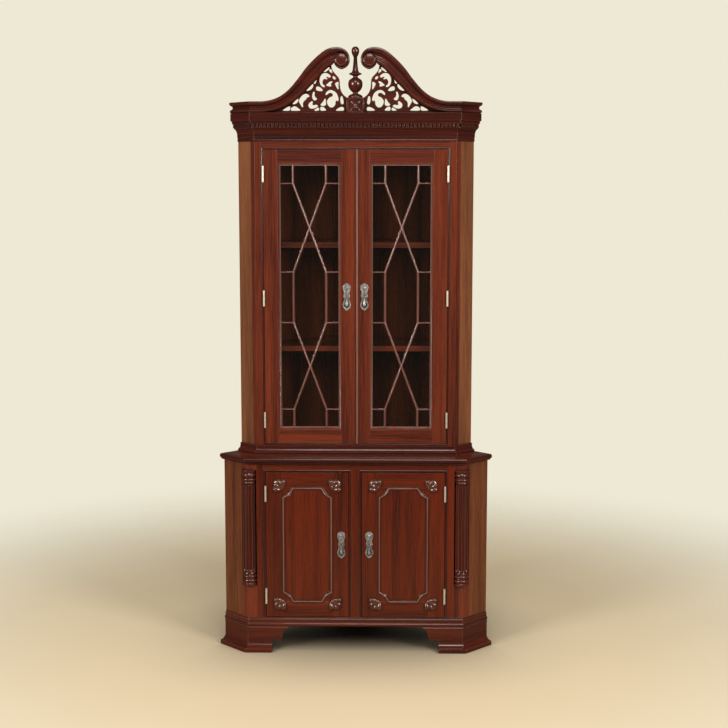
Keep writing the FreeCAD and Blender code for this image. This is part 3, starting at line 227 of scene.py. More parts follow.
ribbons = stretched_noise(26, 0.9, 4, "ribbons")
fibres = stretched_noise(420, 9, 3, "fibres")
pores = stretched_noise(900, 34, 1, "pores")
fibre_tone = put(GRAIN, "Math", {1: 0.45}, operation="MULTIPLY")
figure = put(GRAIN, "Math", {1: 0.55}, operation="MULTIPLY_ADD")
tone = put(GRAIN, "MapRange", From_Min=0.36, From_Max=0.64)
shift = put(GRAIN, "Math", {1: 0.5}, operation="SUBTRACT")
scaled = put(GRAIN, "Math", operation="MULTIPLY")
back = put(GRAIN, "Math", {1: 0.5}, operation="ADD", use_clamp=True)
colours = mixer(GRAIN)
pore_mask = put(GRAIN, "MapRange", From_Min=0.40, From_Max=0.33)
pore_share = put(GRAIN, "Math", operation="MULTIPLY")
darker = mixer(GRAIN, b=(0.32, 0.25, 0.22), blend="MULTIPLY")
rough = put(GRAIN, "MapRange", To_Min=0.27, To_Max=0.18)
fibre_height = put(GRAIN, "Math", {1: 0.35}, operation="MULTIPLY")
height = put(GRAIN, "Math", {1: -1.0}, operation="MULTIPLY_ADD")
join(GRAIN,
     (fibres, "Fac", fibre_tone, 0), (ribbons, "Fac", figure, 0), (fibre_tone, 0, figure, 2),
     (figure, 0, tone, "Value"), (tone, "Result", shift, 0), (shift, 0, scaled, 0),
     (grain_in, "Contrast", scaled, 1), (scaled, 0, back, 0), (back, 0, colours, 0),
     (grain_in, "Dark", colours, COLOUR_A), (grain_in, "Light", colours, COLOUR_B),
     (pores, "Fac", pore_mask, "Value"), (pore_mask, "Result", pore_share, 0),
     (grain_in, "Pores", pore_share, 1), (pore_share, 0, darker, 0),
     (colours, COLOUR_OUT, darker, COLOUR_A), (darker, COLOUR_OUT, grain_out, "Color"),
     (back, 0, rough, "Value"), (rough, "Result", grain_out, "Roughness"),
     (fibres, "Fac", fibre_height, 0), (pore_share, 0, height, 0),
     (fibre_height, 0, height, 2), (height, 0, grain_out, "Height"))

# %% [markdown]
# ### Wood finishes
#
# One recipe makes every wood: a colour pair, how strongly the figure shows, and the direction
# in which the grain lies. The joiner runs the grain along each board, so stiles, posts and
# panels are upright, rails and shelves are level, and the returns follow their own 45 degrees.

# %% The wood recipe
WOODS = {
    # dark colour, light colour, contrast, edge colour, edge share
    # the edge colour is partly wear and partly painted highlight
    "case": ((0.050, 0.0070, 0.0032), (0.160, 0.0285, 0.0100), 1.3, (0.36, 0.13, 0.09), 0.45),
    # rail is a darker wood for the upper doors' top rails: painted shadow under the cornice
    "rail": ((0.038, 0.0056, 0.0034), (0.115, 0.0210, 0.0110), 1.3, (0.32, 0.12, 0.09), 0.45),
    "panel": ((0.036, 0.0042, 0.0012), (0.122, 0.0150, 0.0030), 1.2, (0.30, 0.10, 0.07), 0.45),
    "return": ((0.066, 0.0165, 0.0060), (0.168, 0.0500, 0.0180), 1.3, (0.34, 0.14, 0.10), 0.4),
    "side": ((0.092, 0.0290, 0.0115), (0.235, 0.0830, 0.0340), 1.3, (0.36, 0.16, 0.11), 0.4),
    "moulding": ((0.020, 0.0020, 0.0010), (0.070, 0.0080, 0.0034), 1.2, (0.38, 0.16, 0.12), 0.5),
    "base": ((0.030, 0.0040, 0.0018), (0.096, 0.0140, 0.0062), 1.2, (0.42, 0.19, 0.14), 0.6),
    "carving": ((0.028, 0.0042, 0.0024), (0.088, 0.0140, 0.0066), 1.1, (0.34, 0.15, 0.12), 0.3),
    "shell": ((0.048, 0.0120, 0.0060), (0.115, 0.0340, 0.0180), 1.0, (0.46, 0.28, 0.20), 0.3),
    "dentil": ((0.034, 0.0050, 0.0028), (0.086, 0.0140, 0.0075), 1.0, (0.30, 0.12, 0.09), 0.5),
    # bar is a lighter wood for the glazing bars: painted highlights on them
    "bar": ((0.085, 0.0240, 0.0170), (0.180, 0.0640, 0.0460), 1.0, (0.50, 0.30, 0.25), 0.6),
    # crest is a lighter wood for the beads: a painted highlight along them
    "crest": ((0.110, 0.0380, 0.0270), (0.230, 0.0980, 0.0740), 1.0, (0.50, 0.30, 0.25), 0.6),
    # near black, for the faces between and beside the dentils: painted shade
    "dentil_shade": ((0.004, 0.0014, 0.0010), (0.010, 0.0030, 0.0020), 1.0, (0.06, 0.03, 0.02), 0.2),
    "lining": ((0.034, 0.0078, 0.0026), (0.100, 0.0240, 0.0074), 1.2, (0.20, 0.07, 0.04), 0.4),
    "inside": ((0.016, 0.0045, 0.0024), (0.048, 0.0140, 0.0070), 1.1, (0.20, 0.07, 0.04), 0.4),
}
# the angle of the grain on the floor plan, in degrees
DIRECTIONS = {"upright": None, "level": 0, "right": 45, "left": 135}
@cache
def wood(kind, direction="upright"):
    """The polished wood of that kind with its grain in that direction."""
    dark, light, contrast, edge_colour, edge_share = WOODS[kind]
    material, tree, shader = new_material(f"mahogany_{kind}_{direction}")
    angle = DIRECTIONS[direction]
    turn = (0, 0, 0) if angle is None else (math.pi / 2, math.radians(angle - 90), 0)
    place = put(tree, "TexCoord")
    lie = put(tree, "Mapping", Rotation=turn)
    board = put(tree, "Attribute", attribute_name="board")
    grain = put(tree, "Group", node_tree=GRAIN, Dark=(*dark, 1), Light=(*light, 1),
                Contrast=contrast)
    edge = put(tree, "Group", node_tree=EDGE)
    # painted shade: the colour is darkened where the AO node finds a recess
    recess_shade = mixer(tree, b=(0.10, 0.06, 0.05), blend="MULTIPLY")
    # the arrises take the edge colour, partly as wear and partly as painted highlight
    wear_and_highlight = mixer(tree, b=edge_colour)
    share = put(tree, "Math", {1: edge_share}, operation="MULTIPLY")
    bump = put(tree, "Bump", Strength=0.12, Distance=0.0006)
    join(tree, (place, "Object", lie, "Vector"), (lie, "Vector", grain, "Vector"),
         (board, "Fac", grain, "Board"), (grain, "Color", recess_shade, COLOUR_A),
         (edge, "Recess", recess_shade, 0), (recess_shade, COLOUR_OUT, wear_and_highlight, COLOUR_A),
         (edge, "Edge", share, 0), (share, 0, wear_and_highlight, 0), (wear_and_highlight, COLOUR_OUT, shader, "Base Color"),
         (grain, "Roughness", shader, "Roughness"), (grain, "Height", bump, "Height"),
         (edge, "Normal", bump, "Normal"), (bump, "Normal", shader, "Normal"))
    coat = 0.35 if kind in ("carving", "moulding") else 0.55
    adjust(shader, Coat_Weight=coat, Coat_Roughness=0.09, IOR=1.48)
    return material

# %% [markdown]
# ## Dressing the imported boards
#
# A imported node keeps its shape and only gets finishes. Where one node holds several boards, each
# face is given the finish of its own board by where it lies. Each board also gets a number,
# kept as an attribute of its faces, that shifts its figure, so no two neighbours match.

# %% A helper that dresses a node


def dress(name, *finishes, choose=None):
    """Gives a node its finishes. choose(face centre) returns (which finish, board number)."""
    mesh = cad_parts[name].data
    mesh.materials.clear()
    for finish in finishes:
        mesh.materials.append(finish)
    boards = mesh.attributes.new("board", "FLOAT", "FACE")
    base = (sum(map(ord, name)) % 97) * 0.37
    for face in mesh.polygons:
        which, number = choose(face.center) if choose else (0, 0)
        face.material_index = which
        boards.data[face.index].value = base + number * 1.7


# %% The carcass and the doors
LOWER_CORNER, LOWER_FACE = 0.416358, -0.276179
UPPER_CORNER, UPPER_FACE = 0.3843, -0.184521
# nodes that hold one board on the left and one on the right
PAIRED = {"lower_corner_posts": "case", "upper_corner_posts": "case", "rear_foot": "case",
          "lower_sides": "return", "upper_sides": "side", "lower_back": "inside",
          "upper_back": "lining"}
for name, kind in PAIRED.items():
    dress(name, wood(kind), choose=lambda c: (0, c.x > 0))
for name in ("lower_floor", "upper_floor", "lower_shelf", "shelf_bearers", "upper_top"):
    dress(name, wood("inside", "level"), choose=lambda c: (0, int(c.z * 5)))
shelf_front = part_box("upper_shelves")[0].y
dress("upper_shelves", wood("inside", "level"), wood("case", "level"),
      choose=lambda c: (int(c.y < shelf_front + 0.001), int(c.z * 5)))
for name in ("waist_board", "upper_top_rail"):
    dress(name, wood("case", "level"))


def frame_boards(door, stile):
    """Tells the stiles, rails and panel of a framed door apart, and the bead on its edge."""
    low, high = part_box(door)
    front = UPPER_FACE if door.startswith("upper") else LOWER_FACE

    def choose(c):
        # faces proud of the door are its bead, which gets the lighter crest wood as a painted
        # highlight
        if c.y < front - 0.0008:
            return 3, 5  # the bead
        for number, edge in enumerate((low.x, high.x)):
            if abs(c.x - edge) < stile + 0.0005:
                return 0, number  # a stile
        if c.z < low.z + stile + 0.002:
            return 1, 2  # the bottom rail
        # on an upper door the top rail gets the darker rail wood, painted shadow under the cornice
        if c.z > high.z - stile - 0.0005:
            return 2, 3  # the top rail
        return 0, 4  # the panel
    return choose


for side in ("right", "left"):
    for case, stile, kind, top in (("upper", 0.053, "case", "rail"),
                                   ("lower", 0.060, "panel", "panel")):
        name = f"{case}_{side}_door"
        dress(name, wood(kind), wood(kind, "level"), wood(top, "level"), wood("crest"),
              choose=frame_boards(name, stile))

# the face frame's top rail lies over the doors, between the outer stiles
RAIL_FOOT, RAIL_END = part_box("lower_face_frame")[1].z - 0.0255, 0.355
dress("lower_face_frame", wood("panel"), wood("panel", "level"), choose=lambda c: (
    (1, 0) if c.z > RAIL_FOOT and abs(c.x) < RAIL_END else (0, round(c.x * 9))))
for name, top in (("lower_opening_beads", 0.7115), ("upper_opening_beads", 1.9405)):
    dress(name, wood("moulding"), wood("moulding", "level"),
          choose=lambda c, top=top: (int(c.z > top), round(c.x * 9)))

# %% The mitred mouldings and the feet
LENGTHS = ("level", "right", "left")


def by_length(corner, face):
    """Tells the front length of a mitred moulding from its two returns."""
    def choose(c):
        if abs(c.x) < corner + (face - c.y) * (math.sqrt(2) - 1):
            return 0, 0
        return (1, 1) if c.x > 0 else (2, 2)
    return choose


for corner, face, kind, names in (
        (LOWER_CORNER, LOWER_FACE, "base", ("base_moulding", "foot_right", "foot_left")),
        (LOWER_CORNER, LOWER_FACE, "moulding", ("waist_nosing",)),
        (UPPER_CORNER, UPPER_FACE, "moulding",
         ("waist_moulding", "architrave", "cornice_cove", "cornice_fascia"))):
    for name in names:
        dress(name, *(wood(kind, way) for way in LENGTHS), choose=by_length(corner, face))

# Between and beside the dentils the wood is near black: painted shade.
DENTIL_FRONT = UPPER_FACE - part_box("dentil_course")[0].y - 0.0006


def dentil_faces(c):
    """Tells the dentils' fronts from the faces between and beside them, which get painted shade."""
    length, number = by_length(UPPER_CORNER, UPPER_FACE)(c)
    turned = abs(c.x) - UPPER_CORNER
    proud = UPPER_FACE - c.y if length == 0 else (turned - (c.y - UPPER_FACE)) / math.sqrt(2)
    return (length if proud > DENTIL_FRONT else 3), number


dress("dentil_course", *(wood("dentil", way) for way in LENGTHS), wood("dentil_shade", "level"),
      choose=dentil_faces)

# %% [markdown]
# ## Glass, brass and pewter
#
# The panes are clear and nearly smooth. The hinges are bright brass, and the pulls are an
# antiqued white metal: their raised parts are lighter, partly as rubbed wear and partly as
# painted highlight, and the hollows stay dark.

# %% Glass and metal
glass, tree, shader = new_material("clear_glass")
adjust(shader, Transmission_Weight=1.0, IOR=1.45)
place = put(tree, "TexCoord")
ripple = put(tree, "TexNoise", Scale=9.0, Detail=1.0)
smear = put(tree, "MapRange", To_Max=0.05)
bump = put(tree, "Bump", Strength=0.02, Distance=0.0003)
tint = mixer(tree, (0.93, 0.97, 0.95), (0.97, 0.99, 0.98))
ray = put(tree, "LightPath")
clear = put(tree, "BsdfTransparent", Color=(0.80, 0.78, 0.74, 1))
through = put(tree, "Math", operation="MAXIMUM")
shadow = put(tree, "MixShader")
join(tree, (place, "Object", ripple, "Vector"), (ripple, "Fac", smear, "Value"),
     (smear, "Result", shader, "Roughness"), (ripple, "Fac", bump, "Height"),
     (bump, "Normal", shader, "Normal"), (ripple, "Fac", tint, 0),
     (tint, COLOUR_OUT, shader, "Base Color"), (ray, "Is Shadow Ray", through, 0),
     (ray, "Is Diffuse Ray", through, 1), (through, 0, shadow, 0),
     (shader, "BSDF", shadow, 1), (clear, "BSDF", shadow, 2),
     (shadow, "Shader", tree.nodes["Material Output"], "Surface"))


def metal(name, dark, bright, rough_low, rough_high, radius=0.0006):
    """An aged metal: tarnish in patches; raised edges lighter, partly worn and partly painted
    highlight.
    """
    material, tree, shader = new_material(name)
    adjust(shader, Metallic=0.7)
    place = put(tree, "TexCoord")
    cloud = put(tree, "TexNoise", Scale=160.0, Detail=5.0)
    patches = put(tree, "MapRange", From_Min=0.35, From_Max=0.65)
    edge = put(tree, "Group", node_tree=EDGE, Radius=radius, Reach=0.008)
    # the raised edges are lightened, partly as rubbed wear and partly as painted highlight
    rubbed_and_highlit = put(tree, "Math", {1: 0.55}, operation="MULTIPLY_ADD", use_clamp=True)
    colour = mixer(tree, dark, bright)
    tarnish = mixer(tree, b=(0.05, 0.045, 0.04), blend="MULTIPLY")
    rough = put(tree, "MapRange", To_Min=rough_high, To_Max=rough_low)
    bump = put(tree, "Bump", Strength=0.2, Distance=0.0002)
    join(tree, (place, "Object", cloud, "Vector"), (cloud, "Fac", patches, "Value"),
         (patches, "Result", rubbed_and_highlit, 0), (edge, "Edge", rubbed_and_highlit, 2), (rubbed_and_highlit, 0, colour, 0),
         (colour, COLOUR_OUT, tarnish, COLOUR_A), (edge, "Recess", tarnish, 0),
         (tarnish, COLOUR_OUT, shader, "Base Color"), (rubbed_and_highlit, 0, rough, "Value"),
         (rough, "Result", shader, "Roughness"), (cloud, "Fac", bump, "Height"),
         (edge, "Normal", bump, "Normal"), (bump, "Normal", shader, "Normal"))
    return material


brass = metal("hinge_brass", (0.72, 0.62, 0.50), (1.0, 0.91, 0.78), 0.25, 0.42)
pewter = metal("antique_pewter", (0.17, 0.165, 0.165), (0.95, 0.89, 0.86), 0.2, 0.42)
blackened = metal("blackened_pewter", (0.012, 0.011, 0.010), (0.10, 0.095, 0.09), 0.3, 0.5,
                  0.0004)
steel = metal("catch_steel", (0.20, 0.20, 0.20), (0.5, 0.5, 0.5), 0.3, 0.5)

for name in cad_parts:
    if name.endswith("_glass"):
        dress(name, glass)
    elif "hinge" in name:
        dress(name, brass)
    elif name == "door_catches":
        dress(name, steel)

# %% [markdown]
# ## Shaping by hand
#
# The carved and moulded pieces are shaped in edit mode. A section, which is the shape of the
# moulding's cut end, is extruded from station to station, and moved, turned and resized at each.
# A swan neck is laid out on the bench in the same way: two edge lines, and a moulding carried
# between them.

# %% Helpers that start, carry and finish a piece


def nothing_selected():
    if bpy.context.object and bpy.context.object.mode != "OBJECT":
        bpy.ops.object.mode_set(mode="OBJECT")
    bpy.ops.object.select_all(action="DESELECT")


def picked(piece):
    """Selects this piece alone and makes it active."""
    nothing_selected()
    piece.select_set(True)
    bpy.context.view_layer.objects.active = piece


def named(name):
    """Names the piece that was just made."""
    piece = bpy.context.object
    piece.name = piece.data.name = name
    return piece


@contextmanager
def editing(piece, mode="VERT"):
    """Edit mode with everything selected, and object mode again afterwards."""
    picked(piece)
    bpy.ops.object.mode_set(mode="EDIT")
    bpy.ops.mesh.select_mode(type=mode)
    bpy.ops.mesh.select_all(action="SELECT")
    yield
    bpy.ops.object.mode_set(mode="OBJECT")


def extrude(*move):
    bpy.ops.mesh.extrude_region_move(TRANSFORM_OT_translate={"value": move})


def faces_outwards():
    bpy.ops.mesh.select_all(action="SELECT")
    bpy.ops.mesh.normals_make_consistent(inside=False)


def outline(name, points):
    """A ring of edges through the points, started from a circle primitive."""
    nothing_selected()
    bpy.ops.mesh.primitive_circle_add(vertices=len(points), fill_type="NOTHING")
    piece = named(name)
    for vertex, point in zip(piece.data.vertices, points):
        vertex.co = point
    return piece


def carried(name, section, stations, closed=False):
    """Carries a section of (share across, depth) through stations of two edge points.

    A station is (x0, z0, x1, z1): share 0 lies at the first point, share 1 at the second.
    Depth is a y coordinate, which stays as it is on the way."""
    def measure(station):
        x0, z0, x1, z1 = station
        return ((x0 + x1) / 2, (z0 + z1) / 2, math.atan2(z1 - z0, x1 - x0),
                math.hypot(x1 - x0, z1 - z0))

    x, z, angle, width = measure(stations[0])
    piece = outline(name, [
        (x + (share - 0.5) * width * math.cos(angle), depth,
         z + (share - 0.5) * width * math.sin(angle)) for share, depth in section])
    with editing(piece):
        if not closed:
            bpy.ops.mesh.edge_face_add()
        for station in stations[1:]:
            new_x, new_z, new_angle, new_width = measure(station)
            extrude(new_x - x, 0, new_z - z)
            centre = (new_x, 0, new_z)
            turn = (new_angle - angle + math.pi) % math.tau - math.pi
            if abs(turn) > 1e-6:
                bpy.ops.transform.rotate(value=TURN_SIGN * turn, orient_axis="Y",
                                         orient_type="GLOBAL", center_override=centre)
            ratio = new_width / width
            if abs(ratio - 1) > 1e-6:
                bpy.ops.transform.resize(value=(ratio, 1, ratio), orient_type="GLOBAL",
                                         center_override=centre)
            x, z, angle, width = new_x, new_z, new_angle, new_width
        if closed:
            bpy.ops.mesh.select_all(action="SELECT")
            bpy.ops.mesh.remove_doubles(threshold=2e-6)
        faces_outwards()
    return piece


def turning_sign():
    """With no window the rotate operator turns the other way; a small test finds the sign."""
    nothing_selected()
    bpy.ops.mesh.primitive_plane_add(size=1)
    probe = bpy.context.object
    with editing(probe):
        bpy.ops.transform.translate(value=(1, 0, 0))
        bpy.ops.transform.rotate(value=math.pi / 2, orient_axis="Y", orient_type="GLOBAL",
                                 center_override=(0, 0, 0))
    height = sum(v.co.z for v in probe.data.vertices)
    bpy.data.objects.remove(probe)
    return 1 if height > 0 else -1


TURN_SIGN = turning_sign()


def smooth_line(points, steps):
    """A line through the points that bends evenly, with so many steps between two points."""
    ends = [points[0]] + list(points) + [points[-1]]
    line = []
    for a, b, c, d in zip(ends, ends[1:], ends[2:], ends[3:]):
        for step in range(steps):
            t = step / steps
            line.append(tuple(
                0.5 * (2 * q + (r - p) * t + (2 * p - 5 * q + 4 * r - s) * t * t
                       + (3 * q - p - 3 * r + s) * t ** 3)
                for p, q, r, s in zip(a, b, c, d)))
    return line + [tuple(points[-1])]


def joined(name, parts):
    """Joins parts into one object."""
    nothing_selected()
    for part in parts:
        part.select_set(True)
    bpy.context.view_layer.objects.active = parts[0]
    bpy.ops.object.join()
    return named(name)


def copied(piece, name):
    """A copy with its own mesh."""
    double = piece.copy()
    double.data = piece.data.copy()
    double.name = double.data.name = name
    bpy.context.collection.objects.link(double)
    return double


def settled(piece):
    """Puts a piece's place, turn and size into its mesh."""
    picked(piece)
    bpy.ops.object.transform_apply(location=True, rotation=True, scale=True)
    return piece


def modified(piece, kind, **settings):
    """Adds a modifier and applies it."""
    picked(piece)
    item = piece.modifiers.new(kind.lower(), kind)
    for key, value in settings.items():
        setattr(item, key, value)
    bpy.ops.object.modifier_apply(modifier=item.name)


def sawn(piece, saw):
    """Takes the shape of another piece out of this one."""
    modified(piece, "BOOLEAN", operation="DIFFERENCE", object=saw, solver="EXACT")
    bpy.data.objects.remove(saw)


def smooth(piece, degrees):
    """Smooth shading, with an edge kept sharp where it turns more than that."""
    picked(piece)
    bpy.ops.object.shade_smooth_by_angle(angle=math.radians(degrees))
    return piece


def rounded_block(place, size, radius):
    """A block with its edges rounded over."""
    nothing_selected()
    bpy.ops.mesh.primitive_cube_add(size=1, location=place, scale=size)
    block = settled(bpy.context.object)
    with editing(block, "EDGE"):
        bpy.ops.mesh.bevel(offset=radius, segments=3, affect="EDGES")
    return block


def leaf(name, place, length, width, height, turn, taper):
    """A carved leaf or lobe: a rounded form that narrows to one end, lying on the face."""
    nothing_selected()
    bpy.ops.mesh.primitive_uv_sphere_add(segments=20, ring_count=12, radius=1)
    piece = named(name)
    with editing(piece):
        bpy.ops.transform.resize(value=(width / 2, height, length / 2))
    modified(piece, "SIMPLE_DEFORM", deform_method="TAPER", deform_axis="Z", factor=taper)
    piece.rotation_euler = (0, turn, 0)
    piece.location = place
    return settled(piece)


def hand_over(piece, body, finish, node):
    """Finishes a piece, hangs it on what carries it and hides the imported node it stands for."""
    piece.data.materials.clear()
    piece.data.materials.append(finish)
    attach(piece, body)
    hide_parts(node)
    print(piece.name, "faces:", len(piece.data.polygons))


def hand_over_pair(right, body, finish, node):
    """Mirrors a right hand piece and hands both over; {} in body and node is the side."""
    left = copied(right, right.name.replace("right", "left"))
    with editing(left):
        bpy.ops.transform.resize(value=(-1, 1, 1), center_override=(0, 0, 0))
        bpy.ops.mesh.flip_normals()
    for side, piece in (("right", right), ("left", left)):
        hand_over(piece, body.format(side), finish, node.format(side))
    return right, left


def part_finish(piece, finish, chosen):
    """Gives the faces whose centres are chosen a finish of their own."""
    piece.data.materials.append(finish)
    for face in piece.data.polygons:
        if chosen(face.center):
            face.material_index = len(piece.data.materials) - 1


# %% [markdown]
# ## The swan necks
#
# Each neck is a deep moulding: a bold rounded edge along the top, a fillet, a wide hollow and a
# round along the bottom. It starts level on the crown of the cornice, rises in an S and curls
# over into a volute beside the finial, narrowing as it curls round a smooth domed eye.

# %% The moulding of the neck
CROWN, CROWN_TOP = 2.074, 2.116


def deep(proud):
    """The y of a point that stands so many millimetres proud of the upper case's face."""
    return UPPER_FACE - proud * MM


NECK_SECTION = [(share, deep(proud)) for share, proud in (
    (0.0, 14), (0.0, 30), (0.02, 33), (0.06, 36.5), (0.12, 38.8), (0.19, 39.4), (0.26, 38.3),
    (0.31, 35.8), (0.335, 33), (0.345, 30.5), (0.37, 30.2), (0.385, 28.5), (0.43, 26.5),
    (0.50, 25.4), (0.57, 26.0), (0.63, 28.3), (0.67, 31.5), (0.695, 35.0), (0.71, 37.6),
    (0.74, 37.9), (0.755, 38.1), (0.765, 40.0), (0.79, 41.4), (0.84, 42.0), (0.92, 41.8),
    (0.97, 41.0), (0.995, 39.4), (1.0, 37.5), (1.0, 14))]
# stations of the right neck: lower edge, then upper edge, in millimetres
NECK_LINE = [
    (452, 2074, 452, 2116), (400, 2074, 400, 2116), (372, 2074, 371, 2116),
    (347, 2074.3, 344, 2116.5), (322, 2077.5, 314, 2122), (292, 2085, 281, 2135.5),
    (258, 2099, 247, 2162), (208, 2133, 211, 2204), (174, 2168, 187, 2236),
    (146, 2196, 156, 2269), (117, 2228, 122, 2298), (98, 2244, 97, 2311),
    (84, 2254, 72, 2315), (79.5, 2264, 58, 2313.8), (75.5, 2275, 45, 2309.5),
    (68, 2284, 33, 2301), (58, 2288, 25, 2290), (48, 2287, 20.5, 2276), (39.5, 2281, 21, 2262),
    (36, 2271, 27, 2249.5), (38, 2261, 38, 2240), (44.5, 2254, 52, 2235.5),
    (53, 2251, 66, 2240.5), (62, 2253, 76, 2250), (68, 2258, 81.5, 2260),
]

def metres(points):
    """Points given in millimetres, as metres."""
    return [tuple(value * MM for value in point) for point in points]


def cut_away(piece, place, normal):
    """Cuts a piece by a plane, takes away the side that the normal points to and caps it."""
    with editing(piece):
        bpy.ops.mesh.bisect(plane_co=place, plane_no=normal, use_fill=True, clear_outer=True)


# for each axis, the way the radius is drawn and the way the profile rises
LATHES = {"X": ((0, 0, 1), (1, 0, 0)), "Y": ((1, 0, 0), (0, -1, 0)),
          "Z": ((1, 0, 0), (0, 0, 1))}


def spun(name, profile, centre, axis, steps=48):
    """Turns a profile of (radius, rise) in millimetres about an axis, as a lathe does.

    The profile's ends lie on the axis, and rise 0 at the centre."""
    across, along = LATHES[axis]
    piece = outline(name, [tuple(c + (radius * a + rise * b) * MM
                                 for c, a, b in zip(centre, across, along))
                           for radius, rise in profile])
    with editing(piece):
        bpy.ops.mesh.spin(steps=steps, angle=math.tau, center=centre,
                          axis=[abs(b) for b in along])
        bpy.ops.mesh.select_all(action="SELECT")
        bpy.ops.mesh.remove_doubles(threshold=2e-6)
        bpy.ops.mesh.delete_loose(use_verts=True, use_edges=True, use_faces=False)
        faces_outwards()
    return piece


MITRE = math.radians(22.5)
MITRE_NORMAL = Vector((math.cos(MITRE), math.sin(MITRE), 0))
CORNER = Vector((UPPER_CORNER, UPPER_FACE, 0))

neck = carried("neck_run", NECK_SECTION, smooth_line(metres(NECK_LINE), 4))
cut_away(neck, CORNER, MITRE_NORMAL)

# %% The crown on the return
# The mitre's plane mirrors a level run on the front onto the return.
NECK_DEPTH = 42 * MM
return_length = (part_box("swan_neck_right")[1].x - UPPER_CORNER) * math.sqrt(2) - NECK_DEPTH
crown = carried("crown_run", NECK_SECTION, [
    (x, CROWN, x, CROWN_TOP) for x in (UPPER_CORNER - return_length, UPPER_CORNER + 0.06)])
cut_away(crown, CORNER, MITRE_NORMAL)
crown.data.transform(Matrix.Translation(CORNER) @ Matrix.Scale(-1, 4, MITRE_NORMAL)
                     @ Matrix.Translation(-CORNER))
crown.data.flip_normals()

# %% The volute
eye = spun("eye", [
    (0, 14.4), (28, 14.4), (28, 24), (25.4, 30), (24.8, 35.4), (23, 37.6), (19, 38.9),
    (14, 39.8), (7, 40.4), (0, 40.6)], (52.5 * MM, UPPER_FACE, 2267.5 * MM), "Y", 56)
neck = smooth(joined("swan_neck_right_carved", [neck, crown, eye]), 30)
hand_over_pair(neck, "cabinet", wood("carving", "level"), "swan_neck_{}")

# %% [markdown]
# ## The pierced frets
#
# Under each neck stands a thin board sawn through with a fret saw, so that leaves and scrolls
# are left between the openings. Here the board's outline is filled and given its thickness, and
# one boolean saws out a block for every opening. A remesh and a little smoothing round the sawn
# edges as the carver's knife does.

